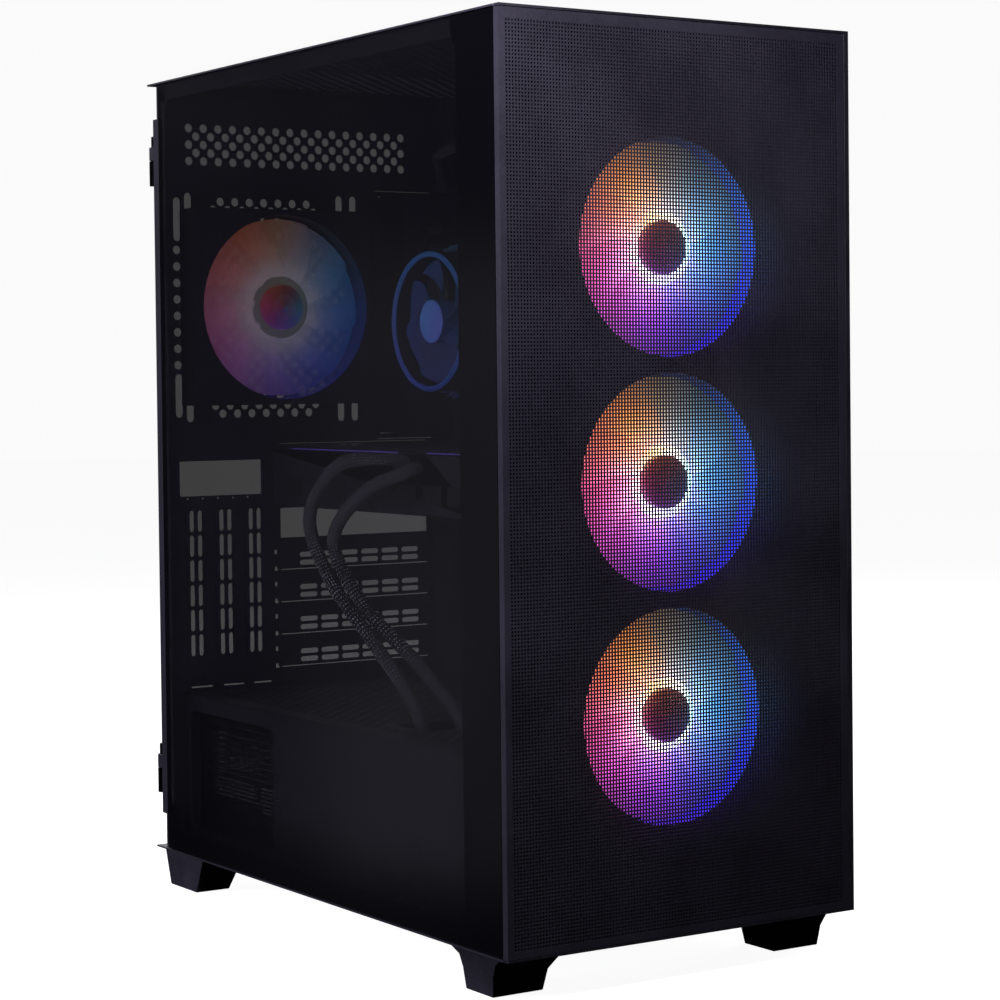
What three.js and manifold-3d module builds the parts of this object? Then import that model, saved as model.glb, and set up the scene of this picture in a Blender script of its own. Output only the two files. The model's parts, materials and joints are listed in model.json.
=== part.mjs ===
import * as THREE from "three";
import { mergeVertices } from "three/addons/utils/BufferGeometryUtils.js";
import Module from "manifold-3d";

// A desktop computer tower, in mm. The front faces -Y, the glass door -X, and the feet stand on z = 0.

// Driving dimensions.
const halfWidth = 110;
const frontY = -197.5;
const rearY = 190.5;
const lipY = 197.5;
const bottomZ = 22;
const topZ = 488;
const sheet = 1;
const gap = 0.3;
const glassThickness = 3;
const fanSize = 120;
const fanDepth = 25;
const fanRows = [133, 253, 373];
const slotPitch = 20.32;
const lowestSlotZ = 127.2;
const boardX = 84;

// Positions that follow from them.
const sideX = halfWidth - glassThickness - 0.4;
const wallX = sideX - sheet;
const insideRearY = rearY - sheet;
const floorZ = bottomZ + sheet;
const roofZ = topZ - sheet;
const frontPanelBackY = frontY + 4.3;
const columnFrontY = frontPanelBackY + 0.4;
const columnRearY = columnFrontY + 40;
const rearFlangeY = rearY - 10.3;
const shroudTopZ = 116;
const shroudX = -95;
const trayX = boardX + 8;
const hingeX = -halfWidth + glassThickness - gap;
const hingeY = 194;
const slotLeftX = -25.7;
const slotRightX = 81.6;
const slotHeight = 18.7;

const wasm = await Module();
wasm.setup();
const tower = new THREE.Group();
tower.name = "desktop_computer_tower";

// ---- Helpers ----

function toSolid(geometry) {
  const copy = geometry.clone();
  copy.deleteAttribute("normal");
  copy.deleteAttribute("uv");
  const merged = mergeVertices(copy, 1e-4);
  const triVerts = new Uint32Array(merged.index.array);
  const vertProperties = new Float32Array(merged.attributes.position.array);
  return new wasm.Manifold(new wasm.Mesh({ numProp: 3, vertProperties, triVerts }));
}

function toGeometry(solid) {
  const mesh = solid.getMesh();
  const positions = new Float32Array(mesh.numVert * 3);
  for (let i = 0; i < mesh.numVert; i++) {
    const start = i * mesh.numProp;
    positions.set(mesh.vertProperties.subarray(start, start + 3), i * 3);
  }
  const geometry = new THREE.BufferGeometry();
  geometry.setAttribute("position", new THREE.BufferAttribute(positions, 3));
  geometry.setIndex(new THREE.BufferAttribute(new Uint32Array(mesh.triVerts), 1));
  geometry.computeVertexNormals();
  return geometry;
}

function join(...solids) {
  return solids.flat().reduce((all, next) => all.add(next));
}

function cut(body, ...tools) {
  return tools.flat().reduce((rest, tool) => rest.subtract(tool), body);
}

function block(x0, x1, y0, y1, z0, z1) {
  const geometry = new THREE.BoxGeometry(x1 - x0, y1 - y0, z1 - z0);
  geometry.translate((x0 + x1) / 2, (y0 + y1) / 2, (z0 + z1) / 2);
  return toSolid(geometry);
}

// A round bar along one axis, from start to end; centre holds the other two coordinates in x, y, z order.
function rod(axis, start, end, radius, centre, sides = 24) {
  const geometry = new THREE.CylinderGeometry(radius, radius, end - start, sides);
  const middle = (start + end) / 2;
  if (axis === "x") {
    geometry.rotateZ(Math.PI / 2);
    geometry.translate(middle, centre[0], centre[1]);
  } else if (axis === "y") {
    geometry.translate(centre[0], middle, centre[1]);
  } else {
    geometry.rotateX(Math.PI / 2);
    geometry.translate(centre[0], centre[1], middle);
  }
  return toSolid(geometry);
}

function mirrorX(solid) {
  return solid.mirror([1, 0, 0]);
}

function addPart(name, solid, look) {
  const material = new THREE.MeshStandardMaterial(look);
  material.name = name + "_surface";
  const mesh = new THREE.Mesh(toGeometry(solid), material);
  mesh.name = name;
  tower.add(mesh);
}

const steel = { color: 0x2b2a2f, roughness: 0.55, metalness: 0.5 };
const darkPlastic = { color: 0x1a1a1d, roughness: 0.6, metalness: 0 };
const bareSteel = { color: 0x9a9ca0, roughness: 0.35, metalness: 0.9 };
const milkyBlade = { color: 0xd9c6ea, roughness: 0.4, metalness: 0 };
const circuit = { color: 0x15161a, roughness: 0.5, metalness: 0.1 };
const tintedGlass = { color: 0x3a3840, roughness: 0.05, metalness: 0, transparent: true, opacity: 0.4 };

// ---- Chassis sheets ----

// The left beam under the roof or over the floor; the right one is its mirror image.
function sideBeam(z0, z1) {
  return block(-sideX, -wallX, columnRearY + 3.4, rearFlangeY - 4.8, z0, z1);
}

function topPanel() {
  const plate = block(-halfWidth, halfWidth, frontPanelBackY + 0.4, lipY, roofZ, topZ);
  const beam = sideBeam(roofZ - 9.8, roofZ + 0.2);
  const controlsSeat = block(4.7, 100.3, -184.3, -156.7, roofZ - 1, topZ + 1);
  return cut(join(plate, beam, mirrorX(beam)), controlsSeat);
}

function bottomPanel() {
  const plate = block(-halfWidth, halfWidth, frontPanelBackY + 0.4, lipY, bottomZ, floorZ);
  const beam = sideBeam(floorZ - 0.2, floorZ + 10.8);
  const supplyVent = block(-66, 48, 60, 176, bottomZ - 1, floorZ + 1);
  const railWall = block(77.5, 78.5, 20, 182, bottomZ - 4, bottomZ + 0.2);
  const railLedge = block(73.5, 78.5, 20, 182, bottomZ - 4, bottomZ - 3);
  const rail = join(railWall, railLedge);
  return cut(join(plate, beam, mirrorX(beam), rail, mirrorX(rail)), supplyVent);
}

function cornerSocket(y, z) {
  return rod("x", -sideX - 1, -wallX + 1, 4.4, [y, z], 20);
}

function rearPanel() {
  const plate = block(-sideX, sideX, insideRearY, rearY, floorZ + gap, roofZ - gap);
  const flange = block(-sideX, -wallX, rearFlangeY, rearY, floorZ + gap, roofZ - gap);
  const upperLug = block(-sideX, -wallX, rearFlangeY - 4.4, rearFlangeY + 1, roofZ - 13.5, roofZ - gap);
  const lowerLug = block(-sideX, -wallX, rearFlangeY - 4.4, rearFlangeY + 1, floorZ + gap, floorZ + 14.5);
  const side = join(flange, upperLug, lowerLug);
  let panel = join(plate, side, mirrorX(side));
  panel = cut(panel, cornerSocket(rearY - 8.2, topZ - 8), cornerSocket(rearY - 8.2, bottomZ + 9));
  const through = (x0, x1, z0, z1) => block(x0, x1, insideRearY - 1, rearY + 1, z0, z1);
  const openings = [
    through(44.6, 89, 269.1, 427.9),
    through(-95, -38.8, 236.6, 258.1),
    through(-78, 60, 31, 109),
  ];
  for (let i = 0; i < 7; i++) {
    const z = lowestSlotZ + slotPitch * i;
    openings.push(through(slotLeftX, slotRightX, z, z + slotHeight));
  }
  for (let i = 0; i < 3; i++) {
    const x = -87.1 + slotPitch * i;
    for (let row = 0; row < 6; row++) {
      const z = 138 + 15.3 * row;
      openings.push(through(x - 1.6, x + 1.6, z, z + 13.4));
      openings.push(through(x + 3.9, x + 7.1, z, z + 13.4));
    }
  }
  return cut(panel, openings);
}

function frontFrame() {
  const low = floorZ + gap;
  const high = roofZ - gap;
  const wall = block(-sideX, -wallX, columnFrontY, columnRearY, low, high);
  const returnFlange = block(-sideX, -92.6, columnRearY - sheet, columnRearY, low, high);
  const upperTab = block(-sideX, -wallX, columnRearY - 1, columnRearY + 3, roofZ - 13.5, high);
  const lowerTab = block(-sideX, -wallX, columnRearY - 1, columnRearY + 3, low, floorZ + 14.5);
  const column = join(wall, returnFlange, upperTab, lowerTab);
  const plate = block(-wallX - 0.5, wallX + 0.5, -186.2, -185.2, low, high);
  let frame = join(plate, column, mirrorX(column));
  frame = cut(frame, cornerSocket(columnRearY - 3.7, topZ - 8), cornerSocket(columnRearY - 3.7, bottomZ + 9));
  for (const z of fanRows) {
    frame = cut(frame, rod("y", -188, -184, 56, [0, z], 48));
  }
  for (const z of [60, 253, 450]) {
    for (const x of [-98, 98]) {
      frame = cut(frame, rod("y", -188, -184, 3.2, [x, z], 12));
    }
  }
  return frame;
}

function motherboardTray() {
  const plate = block(trayX, trayX + sheet, columnRearY + 0.4, insideRearY - gap, floorZ + gap, roofZ - gap);
  const through = (y0, y1, z0, z1) => block(trayX - 1, trayX + 2, y0, y1, z0, z1);
  const openings = [
    through(20, 130, 290, 395),
    through(-105, -75, 150, 250),
    through(-105, -75, 275, 375),
    through(110, 160, 442, 462),
    through(20, 70, 442, 462),
    through(-140, 10, 32, 106),
  ];
  const standoffs = [];
  for (const y of [-50, 30, 172]) {
    for (const z of [136, 282, 425]) {
      standoffs.push(rod("x", boardX + 1.9, trayX + 0.2, 2.6, [y, z], 12));
    }
  }
  return join(cut(plate, openings), standoffs);
}

function supplyShroud() {
  const low = floorZ + gap;
  const roof = block(shroudX, trayX - gap, columnRearY + 0.4, insideRearY - 1.6, shroudTopZ - sheet, shroudTopZ);
  const wall = block(shroudX, shroudX + sheet, columnRearY + 0.4, insideRearY - 1.6, low, shroudTopZ);
  const window = block(shroudX - 1, shroudX + 2, 73, 180, 35, 106.5);
  const cableHole = block(-66, -26, -52, -16, shroudTopZ - 2, shroudTopZ + 1);
  const frontHole = block(30, 74, -52, -16, shroudTopZ - 2, shroudTopZ + 1);
  return cut(join(roof, wall), window, cableHole, frontHole);
}

// ---- Fans ----

// A square fan frame with its motor mount, axis along Y, front face at frontFaceY.
function fanFrame(x, z, frontFaceY, mountAtFront) {
  const half = fanSize / 2;
  const backY = frontFaceY + fanDepth;
  const bore = rod("y", frontFaceY - 1, backY + 1, 56.5, [x, z], 48);
  const frame = cut(block(x - half, x + half, frontFaceY, backY, z - half, z + half), bore);
  const y0 = mountAtFront ? frontFaceY + 0.6 : backY - 3.6;
  const mount = rod("y", y0, y0 + 3, 21, [x, z], 24);
  const level = block(x - 57.5, x + 57.5, y0, y0 + 3, z - 2.5, z + 2.5);
  const upright = block(x - 2.5, x + 2.5, y0, y0 + 3, z - 57.5, z + 57.5);
  return join(frame, mount, level, upright);
}

// A hub with pitched blades, axis along Z through the origin, from z = 0 to depth.
function rotorSolid(hubRadius, tipRadius, depth, blades, pitchDegrees) {
  const hub = rod("z", 0, depth, hubRadius, [0, 0], 24);
  const length = tipRadius - hubRadius + 3;
  const chord = (depth - 2) / Math.sin(THREE.MathUtils.degToRad(pitchDegrees));
  const parts = [hub];
  for (let i = 0; i < blades; i++) {
    const blade = new THREE.BoxGeometry(length, chord, 1.6);
    blade.rotateX(THREE.MathUtils.degToRad(pitchDegrees));
    blade.translate(hubRadius - 3 + length / 2, 0, depth / 2);
    blade.rotateZ((i / blades) * Math.PI * 2);
    parts.push(toSolid(blade));
  }
  return join(parts);
}

function fanRotor(x, z, startY) {
  return rotorSolid(20, 54, 16, 7, 38).rotate([-90, 0, 0]).translate([x, startY, z]);
}

// ---- Power supply ----

function powerSupply() {
  const caseBox = block(-84, 66, 48.5, insideRearY - gap, 27.2, 113.2);
  const fanPocket = rod("z", 20, 27.2 + 24, 61, [-9, 118], 40);
  const inlet = block(-66, -39, insideRearY - 14, rearY, 52, 72);
  const switchSeat = block(-32, -18, insideRearY - 8, rearY, 51, 73);
  const cableExit = block(20, 56, 40, 56, 50, 90);
  const spider = rod("z", 48, 56, 18, [-9, 118], 24);
  const pads = [[-76, 60], [58, 60], [-76, 176], [58, 176]];
  const feet = pads.map(([x, y]) => block(x - 6, x + 6, y - 6, y + 6, floorZ + gap, 27.4));
  return join(cut(caseBox, fanPocket, inlet, switchSeat, cableExit), spider, feet);
}

function supplyRotor() {
  return rotorSolid(19, 57, 14, 9, 42).translate([-9, 118, 31]);
}

function rockerSwitch() {
  const body = block(-30.6, -19.4, insideRearY - 4.6, insideRearY - 0.4, 52.8, 71.2);
  const axle = rod("x", -30.6, -19.4, 2, [insideRearY - 4.6, 62], 12);
  return join(body, axle);
}

// ---- Motherboard and what sits on it ----

function motherboard() {
  const board = block(boardX, boardX + 1.6, -57.5, 186.5, 127, 432);
  const raised = (height, y0, y1, z0, z1) => block(boardX - height, boardX + 0.2, y0, y1, z0, z1);
  const pieces = [
    board,
    raised(5, 50, 103, 315, 368),
    raised(6, 38, 128, 262.6, 269.4),
    raised(6, 38, 128, 201.6, 208.4),
    raised(6, 98, 128, 140.7, 147.5),
    raised(7, -18, -8, 296, 428),
    raised(7, 2, 12, 296, 428),
    raised(9, -55, -44, 300, 352),
    raised(7, -42, -2, 150, 190),
    raised(9, 150, 168, 424.6, 431.6),
    raised(14, -30, 140, 127.5, 133),
  ];
  return join(pieces);
}

function portBlock() {
  const body = block(48, boardX - gap, 158, rearY + 1, 273, 424);
  const pocket = (x0, x1, z0, z1) => block(x0, x1, rearY - 2, rearY + 2, z0, z1);
  const pockets = [
    pocket(52, 66, 410, 420),
    pocket(68, 81, 410, 420),
    pocket(53, 80, 388, 396),
    pocket(60, 80, 371, 381),
    pocket(52, 58, 348, 362),
    pocket(62, 68, 348, 362),
    pocket(73, 79, 348, 362),
    pocket(53, 67, 322, 337),
    pocket(70, 76, 322, 337),
    pocket(52, 58, 302, 316),
    pocket(62, 68, 302, 316),
  ];
  const jacks = [55, 66, 77].map((x) => rod("y", rearY - 2, rearY + 2, 3, [x, 284], 16));
  return cut(body, pockets, jacks);
}

function portShield() {
  const plate = block(44.9, 88.7, insideRearY + 0.1, rearY - 0.1, 269.4, 427.6);
  return cut(plate, block(47.6, boardX + 0.1, insideRearY - 1, rearY + 1, 272.6, 424.4));
}

function memoryModule(y) {
  const stick = block(boardX - 38, boardX - 7.3, y - 3, y + 3, 297, 427);
  return cut(stick, block(boardX - 40, boardX - 33, y - 4, y + 4, 330, 394));
}

function regulatorHeatsink() {
  const base = block(boardX - 22, boardX - gap, 134, 152, 300, 404);
  const grooves = [];
  for (let z = 308; z < 400; z += 14) {
    grooves.push(block(boardX - 24, boardX - 10, 130, 156, z, z + 6));
  }
  return cut(base, grooves);
}

const coolerY = 76.5;
const coolerZ = 341.5;

function coolerHeatsink() {
  const core = rod("x", 34, boardX - 5.3, 19, [coolerY, coolerZ], 32);
  const base = rod("x", boardX - 15, boardX - 5.3, 30, [coolerY, coolerZ], 32);
  const fins = [];
  for (let i = 0; i < 32; i++) {
    const fin = new THREE.BoxGeometry(36, 29, 1.4);
    fin.translate(54, 32, 0);
    fin.rotateX((i / 32) * Math.PI * 2);
    fin.translate(0, coolerY, coolerZ);
    fins.push(toSolid(fin));
  }
  return join(core, base, fins);
}

function coolerRing() {
  const outside = rod("x", 14, 33.6, 42, [coolerY, coolerZ], 48);
  const inside = rod("x", 10, 40, 38.6, [coolerY, coolerZ], 48);
  const mount = rod("x", 31, 33.6, 15, [coolerY, coolerZ], 24);
  const level = block(31, 33.6, coolerY - 39.5, coolerY + 39.5, coolerZ - 2, coolerZ + 2);
  const upright = block(31, 33.6, coolerY - 2, coolerY + 2, coolerZ - 39.5, coolerZ + 39.5);
  return join(cut(outside, inside), mount, level, upright);
}

function coolerRotor() {
  const rotor = rotorSolid(13, 36.8, 13, 7, 36).rotate([0, 90, 0]);
  return rotor.translate([17, coolerY, coolerZ]);
}

// ---- Graphics card ----

const cardBottomZ = 229.6;
const cardTopZ = 267.6;

function graphicsBoard() {
  const board = block(-34, 72, -58, 186.2, cardTopZ - 3.4, cardTopZ);
  const tongue = block(71.8, 77.7, 40, 126, cardTopZ - 3.4, cardTopZ - 1.8);
  const bracket = block(-31, 80, insideRearY - 1.6, insideRearY - 0.6, cardBottomZ, cardTopZ);
  const bracketFold = block(-30, 70, 180, insideRearY - 0.8, cardTopZ - 3.4, cardTopZ - 2.4);
  const sockets = [];
  for (const x of [-18, 8, 34]) {
    sockets.push(block(x, x + 18, insideRearY - 3, insideRearY, 254, 260));
  }
  return cut(join(board, tongue, bracket, bracketFold), sockets);
}

function graphicsShroud() {
  const body = block(-34, 68, -58, 184, cardBottomZ, cardTopZ - 3.7);
  const edges = [];
  for (const y of [0, 118]) {
    edges.push(rod("z", cardBottomZ - 1, cardBottomZ + 14, 44.5, [17, y], 40));
  }
  const socket = block(-36, -26, -1, 28, cardTopZ - 18, cardTopZ - 4);
  return cut(body, edges, socket);
}

function graphicsRotor(y) {
  return rotorSolid(16, 42.5, 11, 9, 40).translate([17, y, cardBottomZ + 1.4]);
}

// ---- Expansion slot covers ----

function slotCover(index) {
  const z = lowestSlotZ + slotPitch * index;
  const plate = block(slotLeftX - 3, slotRightX + 1.8, insideRearY - 1.3, insideRearY - gap, z + 0.8, z + 19.3);
  const slots = [];
  for (let column = 0; column < 6; column++) {
    const x = -13.2 + 14.9 * column;
    for (const rowZ of [z + 4.3, z + 9.3]) {
      slots.push(block(x, x + 13, insideRearY - 3, insideRearY + 1, rowZ - 1.6, rowZ + 1.6));
    }
  }
  return cut(plate, slots);
}

// ---- Door ----

const doorLowZ = floorZ + 0.7;
const doorHighZ = roofZ - 0.7;
const hingeLevels = [{ name: "upper", z: 426.3 }, { name: "lower", z: 55.8 }];

function glassDoor() {
  const inner = -halfWidth + glassThickness;
  return block(-halfWidth, inner, frontPanelBackY + 0.6, rearFlangeY + 1.5, doorLowZ, doorHighZ);
}

function doorRail() {
  const inner = -halfWidth + glassThickness;
  const strip = block(-halfWidth, inner, rearFlangeY + 1.8, rearY - 1.7, 44, 466);
  const knuckles = [];
  for (const level of hingeLevels) {
    const low = level.z + 15.4;
    const arm = block(-halfWidth, -halfWidth + 1.2, rearY - 2, hingeY, low, low + 8);
    const tube = rod("z", low, low + 8, 2.7, [hingeX, hingeY], 20);
    const bore = rod("z", low - 1, low + 9, 1.9, [hingeX, hingeY], 20);
    knuckles.push(cut(join(arm, tube), bore));
  }
  return join(strip, knuckles);
}

function hingeHalf(z) {
  const leaf = block(hingeX + 1, -90, rearY + gap, rearY + 1.5, z, z + 31);
  const slimmed = cut(leaf, block(-108, hingeX + 3.4, rearY, rearY + 2, z + 15, z + 32));
  const barrel = rod("z", z, z + 15, 2.7, [hingeX, hingeY], 20);
  const pin = rod("z", z + 14, z + 30, 1.5, [hingeX, hingeY], 16);
  return join(slimmed, barrel, pin);
}

function doorStud(z) {
  const y = columnRearY - 3.7;
  const base = rod("x", -halfWidth + glassThickness + 0.05, -sideX - 0.05, 3.6, [y, z], 20);
  const ball = rod("x", -sideX - 0.1, -sideX + 3, 2.6, [y, z], 16);
  return join(base, ball);
}

// ---- Right side panel ----

function rightSidePanel() {
  const low = floorZ + 0.7;
  const high = roofZ - 0.7;
  const plate = block(halfWidth - sheet, halfWidth, frontPanelBackY + 0.6, rearY + 2, low, high);
  const edges = [
    block(halfWidth - 3, halfWidth - 0.5, frontPanelBackY + 0.6, rearY, low, low + sheet),
    block(halfWidth - 3, halfWidth - 0.5, frontPanelBackY + 0.6, rearY, high - sheet, high),
    block(98, halfWidth - 0.5, rearY + 0.6, rearY + 1.6, 60, 450),
  ];
  return join(plate, edges);
}

function sideScrew(z) {
  const head = rod("y", rearY + 2, rearY + 6.8, 4.8, [102.6, z], 20);
  return head;
}

// ---- Front panel ----

function frontPanelFrame() {
  const outer = block(-108.7, halfWidth, frontY + 1.3, frontPanelBackY, bottomZ, topZ);
  const rims = [
    block(107, halfWidth, frontY, frontPanelBackY, bottomZ, topZ),
    block(-halfWidth, halfWidth, frontY, frontPanelBackY, topZ - 1.4, topZ),
    block(-halfWidth, halfWidth, frontY, frontPanelBackY, bottomZ, bottomZ + 1.2),
  ];
  const pegs = [];
  for (const z of [60, 253, 450]) {
    for (const x of [-98, 98]) {
      pegs.push(rod("y", frontPanelBackY - 0.2, -183.5, 2.5, [x, z], 12));
    }
  }
  const window = block(-88, 88, frontY - 1, frontPanelBackY + 0.1, 40, 470);
  return join(cut(join(outer, rims), window), pegs);
}

function frontMesh() {
  const face = block(-halfWidth, 106.7, frontY, frontY + sheet, bottomZ + 1.5, topZ - 1.7);
  const flange = block(-halfWidth, -halfWidth + sheet, frontY, frontPanelBackY, bottomZ + 1.5, topZ - 1.7);
  return join(face, flange);
}

// ---- Filters, feet and top controls ----

function topFilter() {
  const frame = block(-101, 101, -146, 78, topZ + 0.2, topZ + 2.4);
  return cut(frame, block(-95, 95, -140, 72, topZ + 1.2, topZ + 3));
}

function bottomFilter() {
  const tray = block(-77, 77, 24, 186, bottomZ - 2.6, bottomZ - 1);
  const pull = block(-20, 20, 184, 192, bottomZ - 2.6, bottomZ - 0.4);
  return join(tray, pull);
}

// A foot lofted between a bottom and a top rectangle, with the levels in between given as fractions.
function foot(levels) {
  const positions = [];
  for (const level of levels) {
    const { x0, x1, y0, y1, z } = level;
    positions.push(x0, y0, z, x1, y0, z, x1, y1, z, x0, y1, z);
  }
  const index = [0, 2, 1, 0, 3, 2];
  for (let layer = 0; layer < levels.length - 1; layer++) {
    const base = layer * 4;
    for (let side = 0; side < 4; side++) {
      const a = base + side;
      const b = base + ((side + 1) % 4);
      index.push(a, b, b + 4, a, b + 4, a + 4);
    }
  }
  const top = (levels.length - 1) * 4;
  index.push(top, top + 1, top + 2, top, top + 2, top + 3);
  const geometry = new THREE.BufferGeometry();
  geometry.setAttribute("position", new THREE.Float32BufferAttribute(positions, 3));
  geometry.setIndex(index);
  return toSolid(geometry);
}

function frontFoot() {
  const topOfFoot = bottomZ - gap;
  return foot([
    { x0: -104, x1: -74, y0: -174, y1: -149, z: 0 },
    { x0: -105, x1: -72, y0: -176, y1: -147.5, z: 11 },
    { x0: -106, x1: -68, y0: -180, y1: -145.5, z: 17.5 },
    { x0: -108, x1: -60, y0: -188, y1: -140, z: topOfFoot },
  ]);
}

function rearFoot() {
  const topOfFoot = bottomZ - gap;
  return foot([
    { x0: -106, x1: -84, y0: 152, y1: 187, z: 0 },
    { x0: -108, x1: -80, y0: 139, y1: 190, z: topOfFoot },
  ]);
}

const panelTopZ = topZ + 0.8;
const powerButtonX = 84;
const resetButtonX = 66;
const controlsY = -170.5;

function controlPanel() {
  const body = block(5, 100, -184, -157, roofZ - 9, panelTopZ);
  const pockets = [
    rod("z", roofZ - 3.4, topZ + 3, 8.4, [powerButtonX, controlsY], 28),
    rod("z", roofZ - 3.4, topZ + 3, 4.4, [resetButtonX, controlsY], 20),
    block(12, 25.5, controlsY - 3, controlsY + 3, topZ - 2.2, topZ + 3),
    block(29, 42.5, controlsY - 3, controlsY + 3, topZ - 2.2, topZ + 3),
    rod("z", topZ - 2.2, topZ + 3, 1.9, [50, controlsY + 5], 12),
    rod("z", topZ - 2.2, topZ + 3, 1.9, [50, controlsY - 5], 12),
  ];
  return cut(body, pockets);
}

function pushButton(x, radius) {
  return rod("z", topZ - 2, topZ + 1.2, radius, [x, controlsY], 28);
}

// ---- Storage ----

function driveCage() {
  const shell = block(-62, 48, -138, 18, floorZ + gap, 60);
  const inside = block(-61, 47, -140, 20, floorZ + 3, 59);
  return cut(shell, inside);
}

function hardDrive() {
  return block(-58, 43.6, -132, 15, floorZ + 3.3, floorZ + 29.4);
}

// ---- Cables ----

function cable(points, radius) {
  const path = new THREE.CatmullRomCurve3(points.map(([x, y, z]) => new THREE.Vector3(x, y, z)));
  const outline = new THREE.Shape();
  outline.absarc(0, 0, radius, 0, Math.PI * 2, false);
  const geometry = new THREE.ExtrudeGeometry(outline, {
    steps: 36,
    curveSegments: 5,
    extrudePath: path,
    bevelEnabled: false,
  });
  return toSolid(geometry);
}

function cardCableRear() {
  return cable(
    [
      [-29, 19, 257.6],
      [-44, 25, 261.5],
      [-62, 50, 258],
      [-67, 76, 228],
      [-62, 62, 192],
      [-59, 17, 158],
      [-55, -18, 128],
      [-52, -27, 109],
      [-32, -16, 93],
      [2, 14, 88],
      [22, 36, 84],
      [25, 53, 82],
    ],
    3.9,
  );
}

function cardCableFront() {
  return cable(
    [
      [-29, 7, 257.6],
      [-43, 8, 254],
      [-58, 30, 242],
      [-63, 55, 214],
      [-54, 37, 178],
      [-42, 0, 148],
      [-36, -34, 122],
      [-34, -40, 104],
      [-18, -32, 78],
      [8, 6, 70],
      [30, 34, 68],
      [34, 53, 68],
    ],
    3.9,
  );
}

function processorCable() {
  return cable(
    [
      [46, 53, 62],
      [52, 32, 68],
      [74, -2, 80],
      [94, -7, 94],
      [100, 4, 128],
      [100, 60, 240],
      [100, 120, 370],
      [100, 134, 434],
      [95, 136, 450],
      [78, 142, 453],
      [72, 154, 448],
      [76, 159, 441],
      [77, 159.5, 433],
    ],
    3.5,
  );
}

// ---- Assembly ----

addPart("top_panel", topPanel(), steel);
addPart("bottom_panel", bottomPanel(), steel);
addPart("rear_panel", rearPanel(), steel);
addPart("front_frame", frontFrame(), steel);
addPart("motherboard_tray", motherboardTray(), steel);
addPart("supply_shroud", supplyShroud(), steel);
addPart("power_supply", powerSupply(), darkPlastic);
addPart("power_supply_rotor", supplyRotor(), darkPlastic);
addPart("power_supply_switch", rockerSwitch(), darkPlastic);
addPart("motherboard", motherboard(), circuit);
addPart("port_block", portBlock(), bareSteel);
addPart("port_shield", portShield(), bareSteel);
addPart("memory_module_1", memoryModule(7), circuit);
addPart("memory_module_2", memoryModule(-13), circuit);
addPart("regulator_heatsink", regulatorHeatsink(), bareSteel);
addPart("cooler_heatsink", coolerHeatsink(), bareSteel);
addPart("cooler_ring", coolerRing(), milkyBlade);
addPart("cooler_rotor", coolerRotor(), milkyBlade);
addPart("graphics_board", graphicsBoard(), circuit);
addPart("graphics_shroud", graphicsShroud(), darkPlastic);
addPart("graphics_rotor_1", graphicsRotor(0), darkPlastic);
addPart("graphics_rotor_2", graphicsRotor(118), darkPlastic);
fanRows.forEach((z, i) => {
  addPart("front_fan_frame_" + (i + 1), fanFrame(0, z, -184.9, false), darkPlastic);
  addPart("front_fan_rotor_" + (i + 1), fanRotor(0, z, -182), milkyBlade);
});
addPart("rear_fan_frame", fanFrame(-33, 352.4, insideRearY - gap - fanDepth, false), darkPlastic);
addPart("rear_fan_rotor", fanRotor(-33, 352.4, insideRearY - gap - fanDepth + 3), milkyBlade);
for (let i = 0; i < 4; i++) {
  addPart("slot_cover_" + (i + 1), slotCover(i), steel);
}
addPart("glass_door", glassDoor(), tintedGlass);
addPart("door_rail", doorRail(), steel);
addPart("door_stud_upper", doorStud(topZ - 8), darkPlastic);
addPart("door_stud_lower", doorStud(bottomZ + 9), darkPlastic);
for (const level of hingeLevels) {
  addPart("hinge_" + level.name, hingeHalf(level.z), bareSteel);
}
addPart("right_side_panel", rightSidePanel(), steel);
addPart("side_screw_upper", sideScrew(440), bareSteel);
addPart("side_screw_lower", sideScrew(70), bareSteel);
addPart("front_mesh", frontMesh(), steel);
addPart("front_panel_frame", frontPanelFrame(), darkPlastic);
addPart("top_filter", topFilter(), darkPlastic);
addPart("bottom_filter", bottomFilter(), darkPlastic);
addPart("foot_front_left", frontFoot(), darkPlastic);
addPart("foot_front_right", mirrorX(frontFoot()), darkPlastic);
addPart("foot_rear_left", rearFoot(), darkPlastic);
addPart("foot_rear_right", mirrorX(rearFoot()), darkPlastic);
addPart("control_panel", controlPanel(), darkPlastic);
addPart("power_button", pushButton(powerButtonX, 8), darkPlastic);
addPart("reset_button", pushButton(resetButtonX, 4), darkPlastic);
addPart("drive_cage", driveCage(), steel);
addPart("hard_drive", hardDrive(), bareSteel);
addPart("card_power_cable_1", cardCableRear(), darkPlastic);
addPart("card_power_cable_2", cardCableFront(), darkPlastic);
addPart("processor_power_cable", processorCable(), darkPlastic);

export default tower;
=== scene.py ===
import json
import math
import bmesh
import bpy
import numpy as np
from mathutils import Matrix, Vector
from mathutils.geometry import delaunay_2d_cdt


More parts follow.
